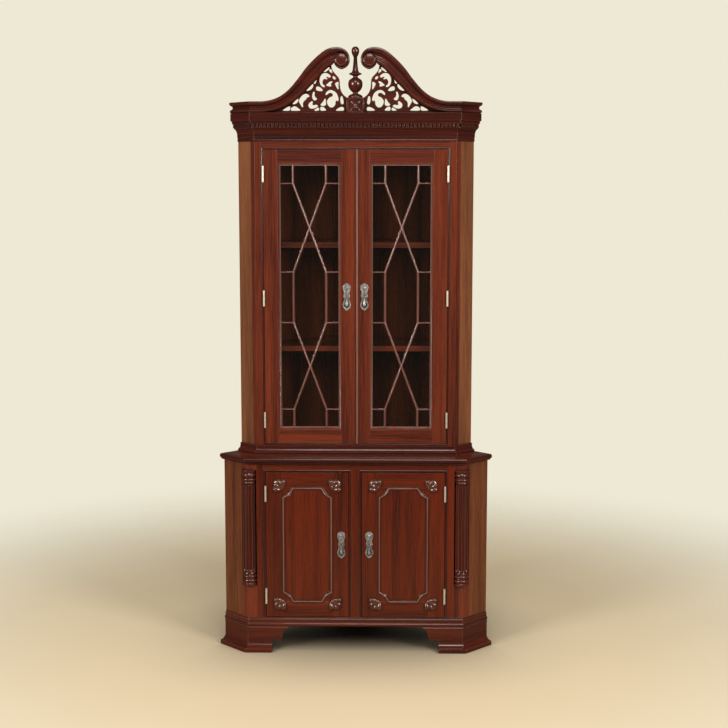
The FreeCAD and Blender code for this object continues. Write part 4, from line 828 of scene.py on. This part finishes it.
# %% The openings of the right fret
# points of (x, z) in millimetres, one closed line for each opening
OPENINGS = [
    # under the volute
    [(96.9, 2242.8), (105.8, 2240.6), (118.3, 2227.9), (114.2, 2225.5), (105.8, 2230.1),
     (98.9, 2235.5)],
    # beside it
    [(91.9, 2236.8), (98, 2233), (96.9, 2227.9), (88.6, 2222.2), (86.9, 2226)],
    # the small scroll
    [(92.5, 2209.8), (101.6, 2218.5), (112.8, 2221.7), (124.7, 2218.2), (132.5, 2206.3),
     (134.2, 2191.5), (130.6, 2178), (121.4, 2169.9), (115.5, 2170.7), (115.3, 2174.7),
     (120.3, 2178.5), (124.2, 2186.1), (121.9, 2195.5), (115.3, 2200.6), (108, 2198.5),
     (105.3, 2201.7), (110.3, 2206), (105.8, 2208.2), (98, 2205)],
    # left of the small scroll
    [(73.8, 2201.7), (78, 2208.2), (84.1, 2209.8), (85.5, 2205), (81.3, 2199), (75.8, 2198.5)],
    # below that
    [(64.1, 2188.2), (72.5, 2186.6), (76.1, 2180.7), (72.7, 2172.6), (67.4, 2163.4), (63.8, 2161.8),
     (64.1, 2175.3)],
    # under the small scroll's leaf
    [(86.9, 2190.9), (95.2, 2190.1), (101.6, 2185.5), (110, 2177.4), (105.8, 2174.7), (95.2, 2172),
     (90.8, 2173.9), (92.5, 2180.7), (88.6, 2185.5)],
    # a slit under the neck
    [(145.3, 2202.3), (149.2, 2202.3), (155.6, 2192.8), (156.4, 2183.9), (150.6, 2182.8),
     (147, 2191.5)],
    # between the scrolls
    [(123, 2158.5), (127.5, 2164.5), (135, 2170.4), (144.7, 2172), (147.8, 2166.6), (146.4, 2158.5),
     (136.4, 2155.8), (126.7, 2155.3)],
    # under the neck
    [(159.2, 2180.1), (165.6, 2180.7), (175.3, 2170.7), (184.5, 2159.1), (180.9, 2155.8),
     (168.4, 2160.4), (161.4, 2167.2), (158.6, 2173.9)],
    # the scroll beside the plinth
    [(64.1, 2120.7), (64.7, 2132.1), (71.1, 2146.9), (82.2, 2155.8), (95.2, 2159.1),
     (105.8, 2154.2), (111.9, 2146.1), (110.8, 2140.2), (105.3, 2142.9), (97.5, 2148.3),
     (89.1, 2147.7), (84.7, 2142.3), (87.5, 2135.3), (95.8, 2132.1), (103, 2125.3), (106.9, 2117.2),
     (104.7, 2106.4), (98, 2097), (89.1, 2094.3), (80.8, 2098), (75.8, 2106.4), (74.7, 2115.3),
     (70.8, 2121.3), (67.7, 2118)],
    # right of it
    [(113, 2127.7), (117.2, 2124), (123, 2114.5), (131.1, 2105.1), (125.8, 2100.5), (115.8, 2100.7),
     (111.1, 2106.4), (111.9, 2118.6)],
    # a curled slit
    [(153.1, 2151), (158.6, 2152), (161.7, 2142.9), (162.5, 2132.1), (157.2, 2121.5),
     (148.3, 2122.1), (145, 2127.2), (150.8, 2132.1), (154.5, 2141.5)],
    # the foot of the outer scroll
    [(163.1, 2117.8), (169.8, 2114.5), (176.7, 2106.4), (175.9, 2097), (168.4, 2090.5),
     (155.9, 2091), (146.1, 2094.8), (140.8, 2100.7), (148.9, 2104.5), (157.2, 2102.6),
     (162.5, 2106.1), (160.9, 2112.9)],
    # the outer scroll
    [(173.1, 2135.8), (178.1, 2142.1), (187.8, 2145), (200.3, 2138.8), (210.1, 2126.7),
     (212.6, 2115.9), (207.6, 2106.4), (201.2, 2095.9), (197.8, 2097), (198.1, 2109.1),
     (193.4, 2118.6), (186.4, 2124), (182.3, 2131.5), (176.7, 2133.1)],
    # right of the outer scroll
    [(214.8, 2126.1), (221.2, 2124), (229.5, 2116.4), (236.5, 2108.3), (230.9, 2106.7),
     (221.2, 2110.7), (215.9, 2118.6)],
    # along the foot
    [(44.1, 2084), (44.4, 2093.7), (53, 2096.2), (64.1, 2091.8), (73.6, 2084.5), (71.3, 2082.7),
     (50.2, 2082.4)],
    [(110.8, 2084), (114.4, 2090.2), (121.1, 2095.9), (130, 2096.7), (132.2, 2090.2),
     (130.8, 2083.2), (119.7, 2082.4)],
    [(137.5, 2084), (138.3, 2093.2), (144.7, 2092.4), (151.4, 2087.5), (155.9, 2084),
     (147.5, 2082.4)],
    [(207, 2084), (214.2, 2090.2), (222.6, 2096.7), (232.3, 2098.3), (241.5, 2092.9),
     (243.1, 2084.8), (238.7, 2082.7), (217, 2082.4)],
    [(247.6, 2084), (246.8, 2097.5), (254.5, 2096.4), (265.7, 2090.2), (274.3, 2084),
     (264.3, 2082.4)],
    # beside the plinth
    [(44.6, 2110.5), (46, 2124), (49.1, 2134.5), (54.1, 2135.8), (56.3, 2126.7), (55.8, 2114.5),
     (52.7, 2106.7), (47.7, 2106.7)],
]


def round_line(points, steps):
    """A smooth closed line through the points."""
    wrapped = smooth_line(points[-1:] + points + points[:2], steps)
    return wrapped[steps:(len(points) + 1) * steps]


# %% The board, sawn through
FRET_BACK, FRET_FRONT = 8.2, 13.8
EDGE_LINE = [(34.9, 2133.4), (43.3, 2140), (51.6, 2151), (56.3, 2164.5), (58, 2178),
             (59.1, 2194.2), (64.1, 2206.3), (75.2, 2218.5), (85.8, 2232), (90, 2248.2),
             (91.1, 2263)]
NECK_SIDE = [(101, 2251), (122, 2233.5), (151, 2201.5), (179, 2173), (212.5, 2138.5),
             (261, 2105.5), (294, 2091.5), (340, 2079), (356, 2075), (356, 2073)]

def slab(name, points, back, front):
    """A flat block between two depths, given as millimetres proud of the upper case's face."""
    piece = outline(name, [(x * MM, deep(back), z * MM) for x, z in points])
    with editing(piece):
        bpy.ops.mesh.edge_face_add()
        extrude(0, (back - front) * MM, 0)
        faces_outwards()
    return piece


fret = slab("fret_right_carved", [(31, 2073), (31, 2130)] + smooth_line(EDGE_LINE, 4)
            + smooth_line(NECK_SIDE, 3), FRET_BACK, FRET_FRONT)
sawn(fret, joined("saw", [slab("opening", round_line(points, 4), FRET_BACK - 3, FRET_FRONT + 3)
                          for points in OPENINGS]))
modified(fret, "REMESH", mode="VOXEL", voxel_size=0.0009)
modified(fret, "SMOOTH", factor=0.5, iterations=5)
smooth(fret, 60)
hand_over_pair(fret, "cabinet", wood("carving", "level"), "fret_{}")

# %% [markdown]
# ## The finial and its plinth
#
# The finial is turned: a button, an urn, a thin disc, a long tapering neck and a ball. Spinning
# its profile about the upright axis does what the lathe does. The plinth under it is a block
# with a sunk panel, and in the panel a flower of four carved leaves.

# %% The turned finial
FINIAL = [
    (0, 2130), (27.2, 2130), (28, 2132.5), (27, 2137), (22.5, 2141.2), (15, 2144), (9.8, 2145.6),
    (9, 2148), (10.4, 2150.8), (16, 2154.6), (21.8, 2161), (26.2, 2170), (27.8, 2180),
    (26.8, 2189.5), (23.5, 2196.5), (16, 2201.5), (10.4, 2204.2), (8.6, 2207), (8.8, 2210.4),
    (12, 2213), (18.5, 2215), (23.4, 2216.8), (24.6, 2219), (23.4, 2221.2), (17, 2222.6),
    (13.0, 2225.6), (10.8, 2232), (9.2, 2245), (7.6, 2262), (6.6, 2277), (7.2, 2281.6),
    (9.6, 2286), (13.2, 2293), (15, 2302), (14.2, 2310.4), (10.6, 2316.4), (5.6, 2319.3),
    (0, 2320)]


def upright_axis(node):
    """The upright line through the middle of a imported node, as its point at z = 0."""
    low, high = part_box(node)
    return (low.x + high.x) / 2, (low.y + high.y) / 2, 0


finial = smooth(spun("finial_turned", FINIAL, upright_axis("finial"), "Z"), 60)
modified(finial, "SUBSURF", levels=1, render_levels=1)
hand_over(finial, "cabinet", wood("carving"), "finial")

# %% The plinth
low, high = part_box("finial_plinth")
block_front = deep(34)
block = rounded_block((0, (block_front + high.y) / 2, (CROWN + high.z) / 2),
                      (high.x - low.x, high.y - block_front, high.z - CROWN), 0.0014)

# the sunk panel is cut with an arched block
HALF_PANEL, SPRING, RISE = 26.5, 2108, 18
ARCH = [(-HALF_PANEL, 2078.5), (HALF_PANEL, 2078.5)] + [
    (HALF_PANEL * math.cos(math.radians(a)), SPRING + RISE * math.sin(math.radians(a)))
    for a in range(0, 181, 15)]
sawn(block, slab("cutter", ARCH, 38, 30.5))

FLOWER, PETAL_PLACE = 2098.5 * MM, 14 * MM
flower = [spun("boss", [(0, 30), (5.5, 30), (5.5, 32.4), (4.6, 33.6), (2.6, 34.4), (0, 34.8)],
               (0, UPPER_FACE, FLOWER), "Y", 24)]
for number in range(4):
    turn = math.radians(45 + 90 * number)
    place = (PETAL_PLACE * math.sin(turn), deep(30.6), FLOWER + PETAL_PLACE * math.cos(turn))
    flower.append(leaf("petal", place, 0.027, 0.0105, 0.0042, turn, -0.7))
plinth = smooth(joined("finial_plinth_carved", [block] + flower), 30)
hand_over(plinth, "cabinet", wood("carving"), "finial_plinth")

# %% [markdown]
# ## The fluted corner columns
#
# Each lower corner holds a column: a shaft with twelve flutes between two sets of turned rings.
# The shaft's cross section, a circle with twelve hollows, is extruded upwards, and closes up to
# a plain circle at both ends, as stopped flutes do.

# %% The columns
low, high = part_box("column_right")
column_x, column_y, _ = upright_axis("column_right")
RINGS = [(26.5, 0), (29.4, 1), (30, 4.5), (29.4, 8), (27.2, 9.4), (26.2, 11.5), (27.2, 13.6),
         (29.6, 16), (30.4, 20), (29.6, 24), (27, 26.4), (24.8, 27.6), (24.2, 29.6), (25.4, 31.4),
         (28.4, 32.6), (29.8, 35), (30.2, 38), (29, 41), (26.2, 42.8), (25.2, 44.4), (26.4, 46.2),
         (27.8, 48), (27.8, 51), (26.4, 53.4), (22, 54)]
parts = [spun("rings", [(0, 0)] + [(radius, way * rise) for radius, rise in RINGS]
              + [(0, way * RINGS[-1][1])], (column_x, column_y, end), "Z")
         for end, way in ((low.z, 1), (high.z, -1))]

FLUTES, POINTS = 12, 10
SHAFT, CORE, FLUTE_DEPTH = 27, 21, 5.6
radii = []
for number in range(FLUTES * POINTS):
    # a fillet is left between two flutes, where the sine falls below 0
    hollow = max(0, math.sin(math.pi * (number % POINTS - 1.5) / (POINTS - 3)))
    radii.append(SHAFT - FLUTE_DEPTH * hollow ** 0.6)
turns = [math.tau * number / len(radii) for number in range(len(radii))]
foot, top = low.z + 53 * MM, high.z - 53 * MM
FADE = 12 * MM
shaft = outline("shaft", [(column_x + CORE * MM * math.cos(turn),
                           column_y + CORE * MM * math.sin(turn), foot) for turn in turns])
with editing(shaft):
    bpy.ops.mesh.edge_face_add()
    for level in (foot + 4 * MM, foot + 9 * MM, foot + FADE, top - FADE, top - 9 * MM,
                  top - 4 * MM, top):
        extrude(0, 0, 0)
        rim = bmesh.from_edit_mesh(shaft.data)
        for vertex in rim.verts:
            if vertex.select:
                place = Vector((vertex.co.x - column_x, vertex.co.y - column_y))
                turn = math.atan2(place.y, place.x) % math.tau
                radius = radii[round(turn / math.tau * len(radii)) % len(radii)]
                # towards its ends the shaft closes up to a plain circle
                from_end = min(level - foot, top - level) / FADE
                depth = min(1, max(0, from_end - 0.33) / 0.67) ** 0.5
                radius = CORE if level == top else SHAFT + (radius - SHAFT) * depth
                place = place.normalized() * radius * MM
                vertex.co = (column_x + place.x, column_y + place.y, level)
        bmesh.update_edit_mesh(shaft.data)
    faces_outwards()
column = smooth(joined("column_right_fluted", parts + [shaft]), 40)
hand_over_pair(column, "cabinet", wood("carving"), "column_{}")

# %% [markdown]
# ## The trim and the shells of the lower doors
#
# A raised bead runs round each panel and turns in with a hollow at the corners. Its section is
# carried between an outer and an inner outline, as the neck's was, and closes on itself with
# true mitres. Outside each corner sits a carved shell: four lobes fan out from one root, melted
# together by a remesh.

# %% The trim of the right door
low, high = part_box("lower_right_door")
door_x, door_z = (low.x + high.x) / 2, (low.z + high.z) / 2
half_wide, half_high = (high.x - low.x) / 2, (high.z - low.z) / 2
trim_wide, trim_high = half_wide - 0.060, half_high - 0.055
NOTCH, TRIM_WIDTH = 0.040, 0.013


def hollow_corners(half_wide, half_high, notch, hollow):
    """The panel's outline, one hollow corner after another."""
    corner = smooth_line([
        (half_wide, half_high - notch),
        (half_wide - notch / 2 - hollow, half_high - notch / 2 - hollow),
        (half_wide - notch, half_high)], 6)
    back = corner[::-1]
    return (corner + [(-x, z) for x, z in back] + [(-x, -z) for x, z in corner]
            + [(x, -z) for x, z in back])


outer_edge = hollow_corners(trim_wide, trim_high, NOTCH, 0.0040)
inner_edge = hollow_corners(trim_wide - TRIM_WIDTH, trim_high - TRIM_WIDTH,
                            NOTCH - 0.4 * TRIM_WIDTH, 0.0043)
TRIM_SECTION = [(share, LOWER_FACE - proud * MM) for share, proud in (
    (0.0, 0), (0.0, 2.2), (0.04, 2.8), (0.10, 3.0), (0.15, 2.7), (0.18, 1.4), (0.23, 1.4),
    (0.26, 3.4), (0.32, 4.7), (0.41, 5.7), (0.50, 6.0), (0.59, 5.7), (0.68, 4.7), (0.74, 3.4),
    (0.77, 1.4), (0.82, 1.4), (0.85, 2.7), (0.90, 3.0), (0.96, 2.8), (1.0, 2.2), (1.0, 0))]
rounds = [(door_x + a, door_z + b, door_x + c, door_z + d)
          for (a, b), (c, d) in zip(outer_edge, inner_edge)]
parts = [carried("trim", TRIM_SECTION, rounds + rounds[:1], closed=True)]

# %% One shell, and its copies in the corners of the door
# The shell's root is at the origin and its fan opens to +x and +z.
lobes = []
for number, reach in enumerate((0.045, 0.050, 0.050, 0.045)):
    turn = math.radians(6 + 26 * number)
    place = (0.60 * reach * math.sin(turn), 0, 0.60 * reach * math.cos(turn))
    lobes.append(leaf("lobe", place, 0.82 * reach, 0.0205, 0.0118, turn, 0.8))
lobes.append(leaf("root", (0.0110, 0, 0.0110), 0.024, 0.024, 0.0098, math.pi / 4, 0.3))
lobes.append(leaf("bed", (0.0215, 0, 0.0215), 0.046, 0.044, 0.0092, math.pi / 4, 0.3))
shell = joined("shell", lobes)
modified(shell, "REMESH", mode="VOXEL", voxel_size=0.0009)
modified(shell, "SMOOTH", factor=0.5, iterations=8)
cut_away(shell, (0, 0.0004, 0), (0, 1, 0))
modified(shell, "DECIMATE", ratio=0.5)
smooth(shell, 60)

SHELL_INSET = 0.0705
# the middle bead of the trim gets lighter wood, a painted highlight, where it stands more
# than this above the door
CREST = 0.0042
for side, rise in ((1, 1), (1, -1), (-1, 1), (-1, -1)):
    one = copied(shell, "corner_shell")
    place = (door_x + side * (half_wide - SHELL_INSET), LOWER_FACE,
             door_z + rise * (half_high - SHELL_INSET))
    one.data.transform(Matrix.Translation(place) @ Matrix.Diagonal((side, 1, rise, 1)))
    if side * rise < 0:
        one.data.flip_normals()
    parts.append(one)
bpy.data.objects.remove(shell)


def on_shell(c):
    """Whether a face of the joined trim belongs to a shell: it lies near a corner."""
    beyond_x, beyond_z = abs(abs(c.x) - door_x) - trim_wide, abs(c.z - door_z) - trim_high
    return beyond_x > -0.037 and beyond_z > -0.036 and beyond_x + beyond_z > -0.034


for piece in hand_over_pair(smooth(joined("lower_right_trim_carved", parts), 30),
                            "lower_{}_door", wood("carving"),
                            "lower_{}_panel_trim"):
    part_finish(piece, wood("crest"), lambda c: c.y < LOWER_FACE - CREST)
    part_finish(piece, wood("shell"), on_shell)

# %% [markdown]
# ## The glazing bars
#
# The panes are held by astragals, thin bars with a round face that cross like a lattice, and by
# a sash moulding that frames them. Each bar is one section carried from end to end. The sash is
# a face that is inset step by step and then opened in the middle.

# %% Helpers for rings of moulding


def inset_by(steps, way=-1, even=True):
    """Raises and insets the selected face step by step: (inwards, proud) in millimetres."""
    for inwards, proud in metres(steps):
        if inwards:
            bpy.ops.mesh.inset(thickness=inwards, depth=0, use_even_offset=even)
        else:
            extrude(0, 0, 0)
        bpy.ops.transform.translate(value=(0, way * proud, 0))


def raised_ring(name, box, depth, steps, way=-1):
    """A moulded ring round a rectangle, inset step by step."""
    left, bottom, right, top = box
    piece = outline(name, [(left, depth, bottom), (right, depth, bottom), (right, depth, top),
                           (left, depth, top)])
    with editing(piece, "FACE"):
        bpy.ops.mesh.edge_face_add()
        bpy.ops.mesh.normals_make_consistent(inside=False)
        extrude(0, way * 1e-4, 0)
        inset_by(steps, way)
        # the innermost face is selected; the first one lies where the outline was drawn
        rim = bmesh.from_edit_mesh(piece.data)
        for face in rim.faces:
            if all(abs(vertex.co.y - depth) < 1e-6 for vertex in face.verts):
                face.select_set(True)
        bmesh.update_edit_mesh(piece.data)
        bpy.ops.mesh.delete(type="FACE")
        bpy.ops.mesh.select_all(action="DESELECT")
        bpy.ops.mesh.select_mode(type="EDGE")
        bpy.ops.mesh.select_non_manifold(extend=False)
        bpy.ops.mesh.bridge_edge_loops()
        faces_outwards()
    return piece


# %% Bars and sash of the right door
glass_low, glass_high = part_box("upper_right_glass")
PLAY = 0.0003
left, right = glass_low.x - PLAY, glass_high.x + PLAY
bottom, top = glass_low.z - PLAY, glass_high.z + PLAY
SASH, END_PANE, CROSS_PANE, REACH = 0.011, 0.068, 0.338, 0.063
BAR_SECTION = [(share, glass_low.y - proud * MM) for share, proud in (
    (0.0, 0), (0.0, 2.2), (0.1, 3.0), (0.14, 5.2), (0.24, 7.3), (0.38, 8.6), (0.5, 9.0),
    (0.62, 8.6), (0.76, 7.3), (0.86, 5.2), (0.9, 3.0), (1.0, 2.2), (1.0, 0))]


def bar(x0, z0, x1, z1, width=0.009):
    """One straight astragal."""
    length = math.hypot(x1 - x0, z1 - z0)
    across = (-(z1 - z0) / length * width / 2, (x1 - x0) / length * width / 2)
    return carried("bar", BAR_SECTION, [
        (x - across[0], z - across[1], x + across[0], z + across[1])
        for x, z in ((x0, z0), (x1, z1))])


foot, head = bottom + SASH, top - SASH
levels = [foot + END_PANE, foot + END_PANE + CROSS_PANE, head - END_PANE - CROSS_PANE,
          head - END_PANE]
middle = (left + right) / 2
parts = []
for side, limit in ((-1, left + SASH), (1, right - SASH)):
    x = middle + side * REACH
    # each bar runs a little way into the piece it meets
    parts += [bar(x, foot - 0.002, x, levels[0]), bar(x, levels[1], x, levels[2]),
              bar(x, levels[3], x, head + 0.002)]
    parts += [bar(x, start, 2 * middle - x, end)
              for start, end in ((levels[0], levels[1]), (levels[2], levels[3]))]
    parts += [bar(limit + 0.002 * side, level, x - 0.001 * side, level, width=0.0062)
              for level in levels]
print("bars on a door:", len(parts))
box = (left, bottom, right, top)
parts.append(raised_ring("sash", box, glass_low.y, [
    (0, 10.9), (0.8, 0), (0.3, -1.2), (0.6, 0), (0.3, 1.0), (2.0, -0.2), (1.6, -0.8),
    (1.3, -1.3), (0.9, -1.6), (0.4, -1.6), (1.8, -0.2), (0.6, 0.9), (0.8, -0.2), (0, -5.4)]))
moulded = smooth(joined("upper_right_bars_moulded", parts), 40)
# the fillets that hold the pane from behind
fillets = raised_ring("fillets", box, glass_high.y, [(0, 6.9), (6, 0), (4, -3), (0, -3.8)], way=1)
moulded = joined("upper_right_bars_moulded", [moulded, fillets])
# the flat rim of the sash has the wood of the door
SASH_RIM = 0.0062
# the bars and the inner sash get the lighter bar wood as painted highlight
for piece in hand_over_pair(moulded, "upper_{}_door", wood("bar"),
                            "upper_{}_glazing_bars"):
    part_finish(piece, wood("case"), lambda c: min(
        abs(c.x) - left, right - abs(c.x), c.z - bottom, top - c.z) < SASH_RIM)

# %% [markdown]
# ## The drop pulls
#
# Each pull is a cast backplate with a raised rim, a domed boss above and a dark hollow below,
# and a pear-shaped drop that swings on a pin between two lugs.

# %% The plate of a pull, with its pin's middle at the origin
# half of the plate's outline, as shares of half its width and of its height
HALF_PLATE = [
    (0, 0.5), (0.28, 0.484), (0.60, 0.452), (0.88, 0.405), (1.0, 0.345), (0.95, 0.28),
    (0.80, 0.21), (0.69, 0.15), (0.71, 0.10), (0.81, 0.055), (0.84, 0.015), (0.76, -0.03),
    (0.63, -0.08), (0.66, -0.135), (0.84, -0.20), (1.0, -0.275), (0.96, -0.345), (0.68, -0.42),
    (0.32, -0.47), (0, -0.5)]
PLATE_HALF_WIDTH, PLATE_HEIGHT = 15.5, 107
FACE_Y = 6.5 * MM
BOSS_Z, HOLLOW_Z, HOLLOW_STRETCH = 0.32 * PLATE_HEIGHT * MM, -31 * MM, 1.35
half = smooth_line([(a * PLATE_HALF_WIDTH, b * PLATE_HEIGHT) for a, b in HALF_PLATE], 3)
plate = outline("plate", [(x * MM, FACE_Y, z * MM) for x, z in
                          half + [(-x, z) for x, z in reversed(half[1:-1])]])
with editing(plate, "FACE"):
    bpy.ops.mesh.edge_face_add()
    inset_by([(0, 1.6), (0.4, 0.7), (0.6, 0.3), (0.7, 0), (0.5, -0.4), (0.4, -1.2), (0.5, -0.2)],
             even=False)
    faces_outwards()
boss = spun("boss", [
    (0, 0.3), (9.4, 0.3), (9.2, 1.6), (8.4, 2.2), (7.4, 2.2), (6.8, 1.4), (6.2, 1.4), (5.8, 2.6),
    (4.9, 3.8), (3.4, 4.6), (1.7, 5.0), (0, 5.1)], (0, FACE_Y, BOSS_Z), "Y", 32)
pin = spun("pin", [
    (0, -7.2), (1.2, -7.2), (1.8, -6.9), (1.8, -6.3), (1.2, -6.3), (1.2, 6.3), (1.8, 6.3),
    (1.8, 6.9), (1.2, 7.2), (0, 7.2)], (0, 0, 0), "X", 16)
hollow = spun("hollow", [
    (0, 1.2), (8.2, 1.2), (8.6, 1.9), (8.0, 1.95), (6, 1.7), (3, 1.5), (0, 1.45)],
    (0, FACE_Y, HOLLOW_Z), "Y", 32)
hollow.data.transform(Matrix.Translation((0, 0, HOLLOW_Z))
                      @ Matrix.Diagonal((1, 1, HOLLOW_STRETCH, 1))
                      @ Matrix.Translation((0, 0, -HOLLOW_Z)))
parts = [plate, boss, pin, hollow]
for side in (-1, 1):
    # a lug, the shoulder leaf beside it and a vein on the waist above it
    parts.append(rounded_block((side * 4.9 * MM, 2 * MM, 0), (3 * MM, 9 * MM, 7 * MM), 0.9 * MM))
    parts.append(leaf("shoulder", (side * 9.0 * MM, FACE_Y - 1.2 * MM, 1.5 * MM),
                      10 * MM, 4.4 * MM, 1.5 * MM, side * 0.5, 0.4))
    parts.append(leaf("vein", (side * 3.0 * MM, FACE_Y - 1.0 * MM, 15 * MM),
                      16 * MM, 2.6 * MM, 1.2 * MM, -side * 0.16, 0.5))
pull_plate = smooth(joined("pull_plate", parts), 35)

# %% Its drop
nothing_selected()
bpy.ops.mesh.primitive_torus_add(major_segments=24, minor_segments=10, major_radius=2.5 * MM,
                                 minor_radius=0.95 * MM, rotation=(0, math.pi / 2, 0))
ring = settled(bpy.context.object)
pear = spun("pear", [
    (0, -2.4), (2.2, -2.6), (2.6, -3.6), (2.2, -5.4), (2.0, -8), (2.2, -11.5), (2.9, -16),
    (4.0, -21), (5.2, -25.5), (5.8, -29.5), (5.6, -33), (4.4, -36), (2.4, -37.6), (0, -38)],
    (0, 0, 0), "Z", 32)
with editing(pear):
    bpy.ops.transform.resize(value=(1, 0.62, 1), center_override=(0, 0, 0))
drop = smooth(joined("drop", [ring, pear]), 60)

# %% The pulls at their places
PULLS = {"upper": (34 * MM, UPPER_FACE - FACE_Y, 1377.5 * MM),
         "lower": (54 * MM, LOWER_FACE - FACE_Y, 423.5 * MM)}


def in_hollow(middle):
    """Tells the faces of the hollow in the plate whose pin has its middle there."""
    x, y, z = middle

    def chosen(c):
        from_middle = math.hypot(c.x - x, (c.z - z - HOLLOW_Z) / HOLLOW_STRETCH)
        return from_middle < 8.3 * MM and 1.3 * MM < y + FACE_Y - c.y < 2.1 * MM
    return chosen


for case, (x, y, z) in PULLS.items():
    for side, place in (("right", (x, y, z)), ("left", (-x, y, z))):
        for model, what, body in ((pull_plate, "pull_plate", "door"), (drop, "drop", "drop")):
            piece = copied(model, f"{case}_{side}_{what}_cast")
            piece.data.transform(Matrix.Translation(place))
            hand_over(piece, f"{case}_{side}_{body}", pewter,
                      f"{case}_{side}_{what}")
            if model is pull_plate:
                part_finish(piece, blackened, in_hollow(place))
for model in (pull_plate, drop):
    bpy.data.objects.remove(model)

# %% [markdown]
# ## The floor
#
# A plain pale floor. It grows clear towards its rim and so melts into the backdrop, as the
# paper sweep of a photographer's studio does. An AO node darkens it under and round the
# cabinet: a painted contact shadow.

# %% Floor
bpy.ops.mesh.primitive_plane_add(size=12, location=(0, 0, 0))
floor = bpy.context.object
floor.name = "floor"
paint, tree, shader = new_material("pale_floor")
adjust(shader, Roughness=0.5)
place = put(tree, "TexCoord")
cloud = put(tree, "TexNoise", Scale=2.0, Detail=3.0)
shade = mixer(tree, (0.80, 0.66, 0.46), (0.84, 0.70, 0.50))
# painted shadow: the floor is darkened where the AO node finds the cabinet close by
painted_contact_shadow = put(tree, "AmbientOcclusion", samples=8, Distance=0.5)
shadow = adjust(mixer(tree, blend="MULTIPLY"), {0: 1.0})
away = put(tree, "VectorMath", operation="LENGTH")
fade = put(tree, "MapRange", interpolation_type="SMOOTHSTEP", From_Min=0.9, From_Max=3.0,
           To_Min=1.0, To_Max=0.0)
# the polish mirrors a darker floor, as it mirrors a dimmer room
ray = put(tree, "LightPath")
mirrored_floor = mixer(tree, b=(0.25, 0.20, 0.15), blend="MULTIPLY")
join(tree, (place, "Object", cloud, "Vector"), (cloud, "Fac", shade, 0),
     (shade, COLOUR_OUT, shadow, COLOUR_A), (painted_contact_shadow, "AO", shadow, COLOUR_B),
     (shadow, COLOUR_OUT, mirrored_floor, COLOUR_A), (ray, "Is Glossy Ray", mirrored_floor, 0),
     (mirrored_floor, COLOUR_OUT, shader, "Base Color"), (place, "Object", away, 0),
     (away, "Value", fade, "Value"), (fade, "Result", shader, "Alpha"))
floor.data.materials.append(paint)
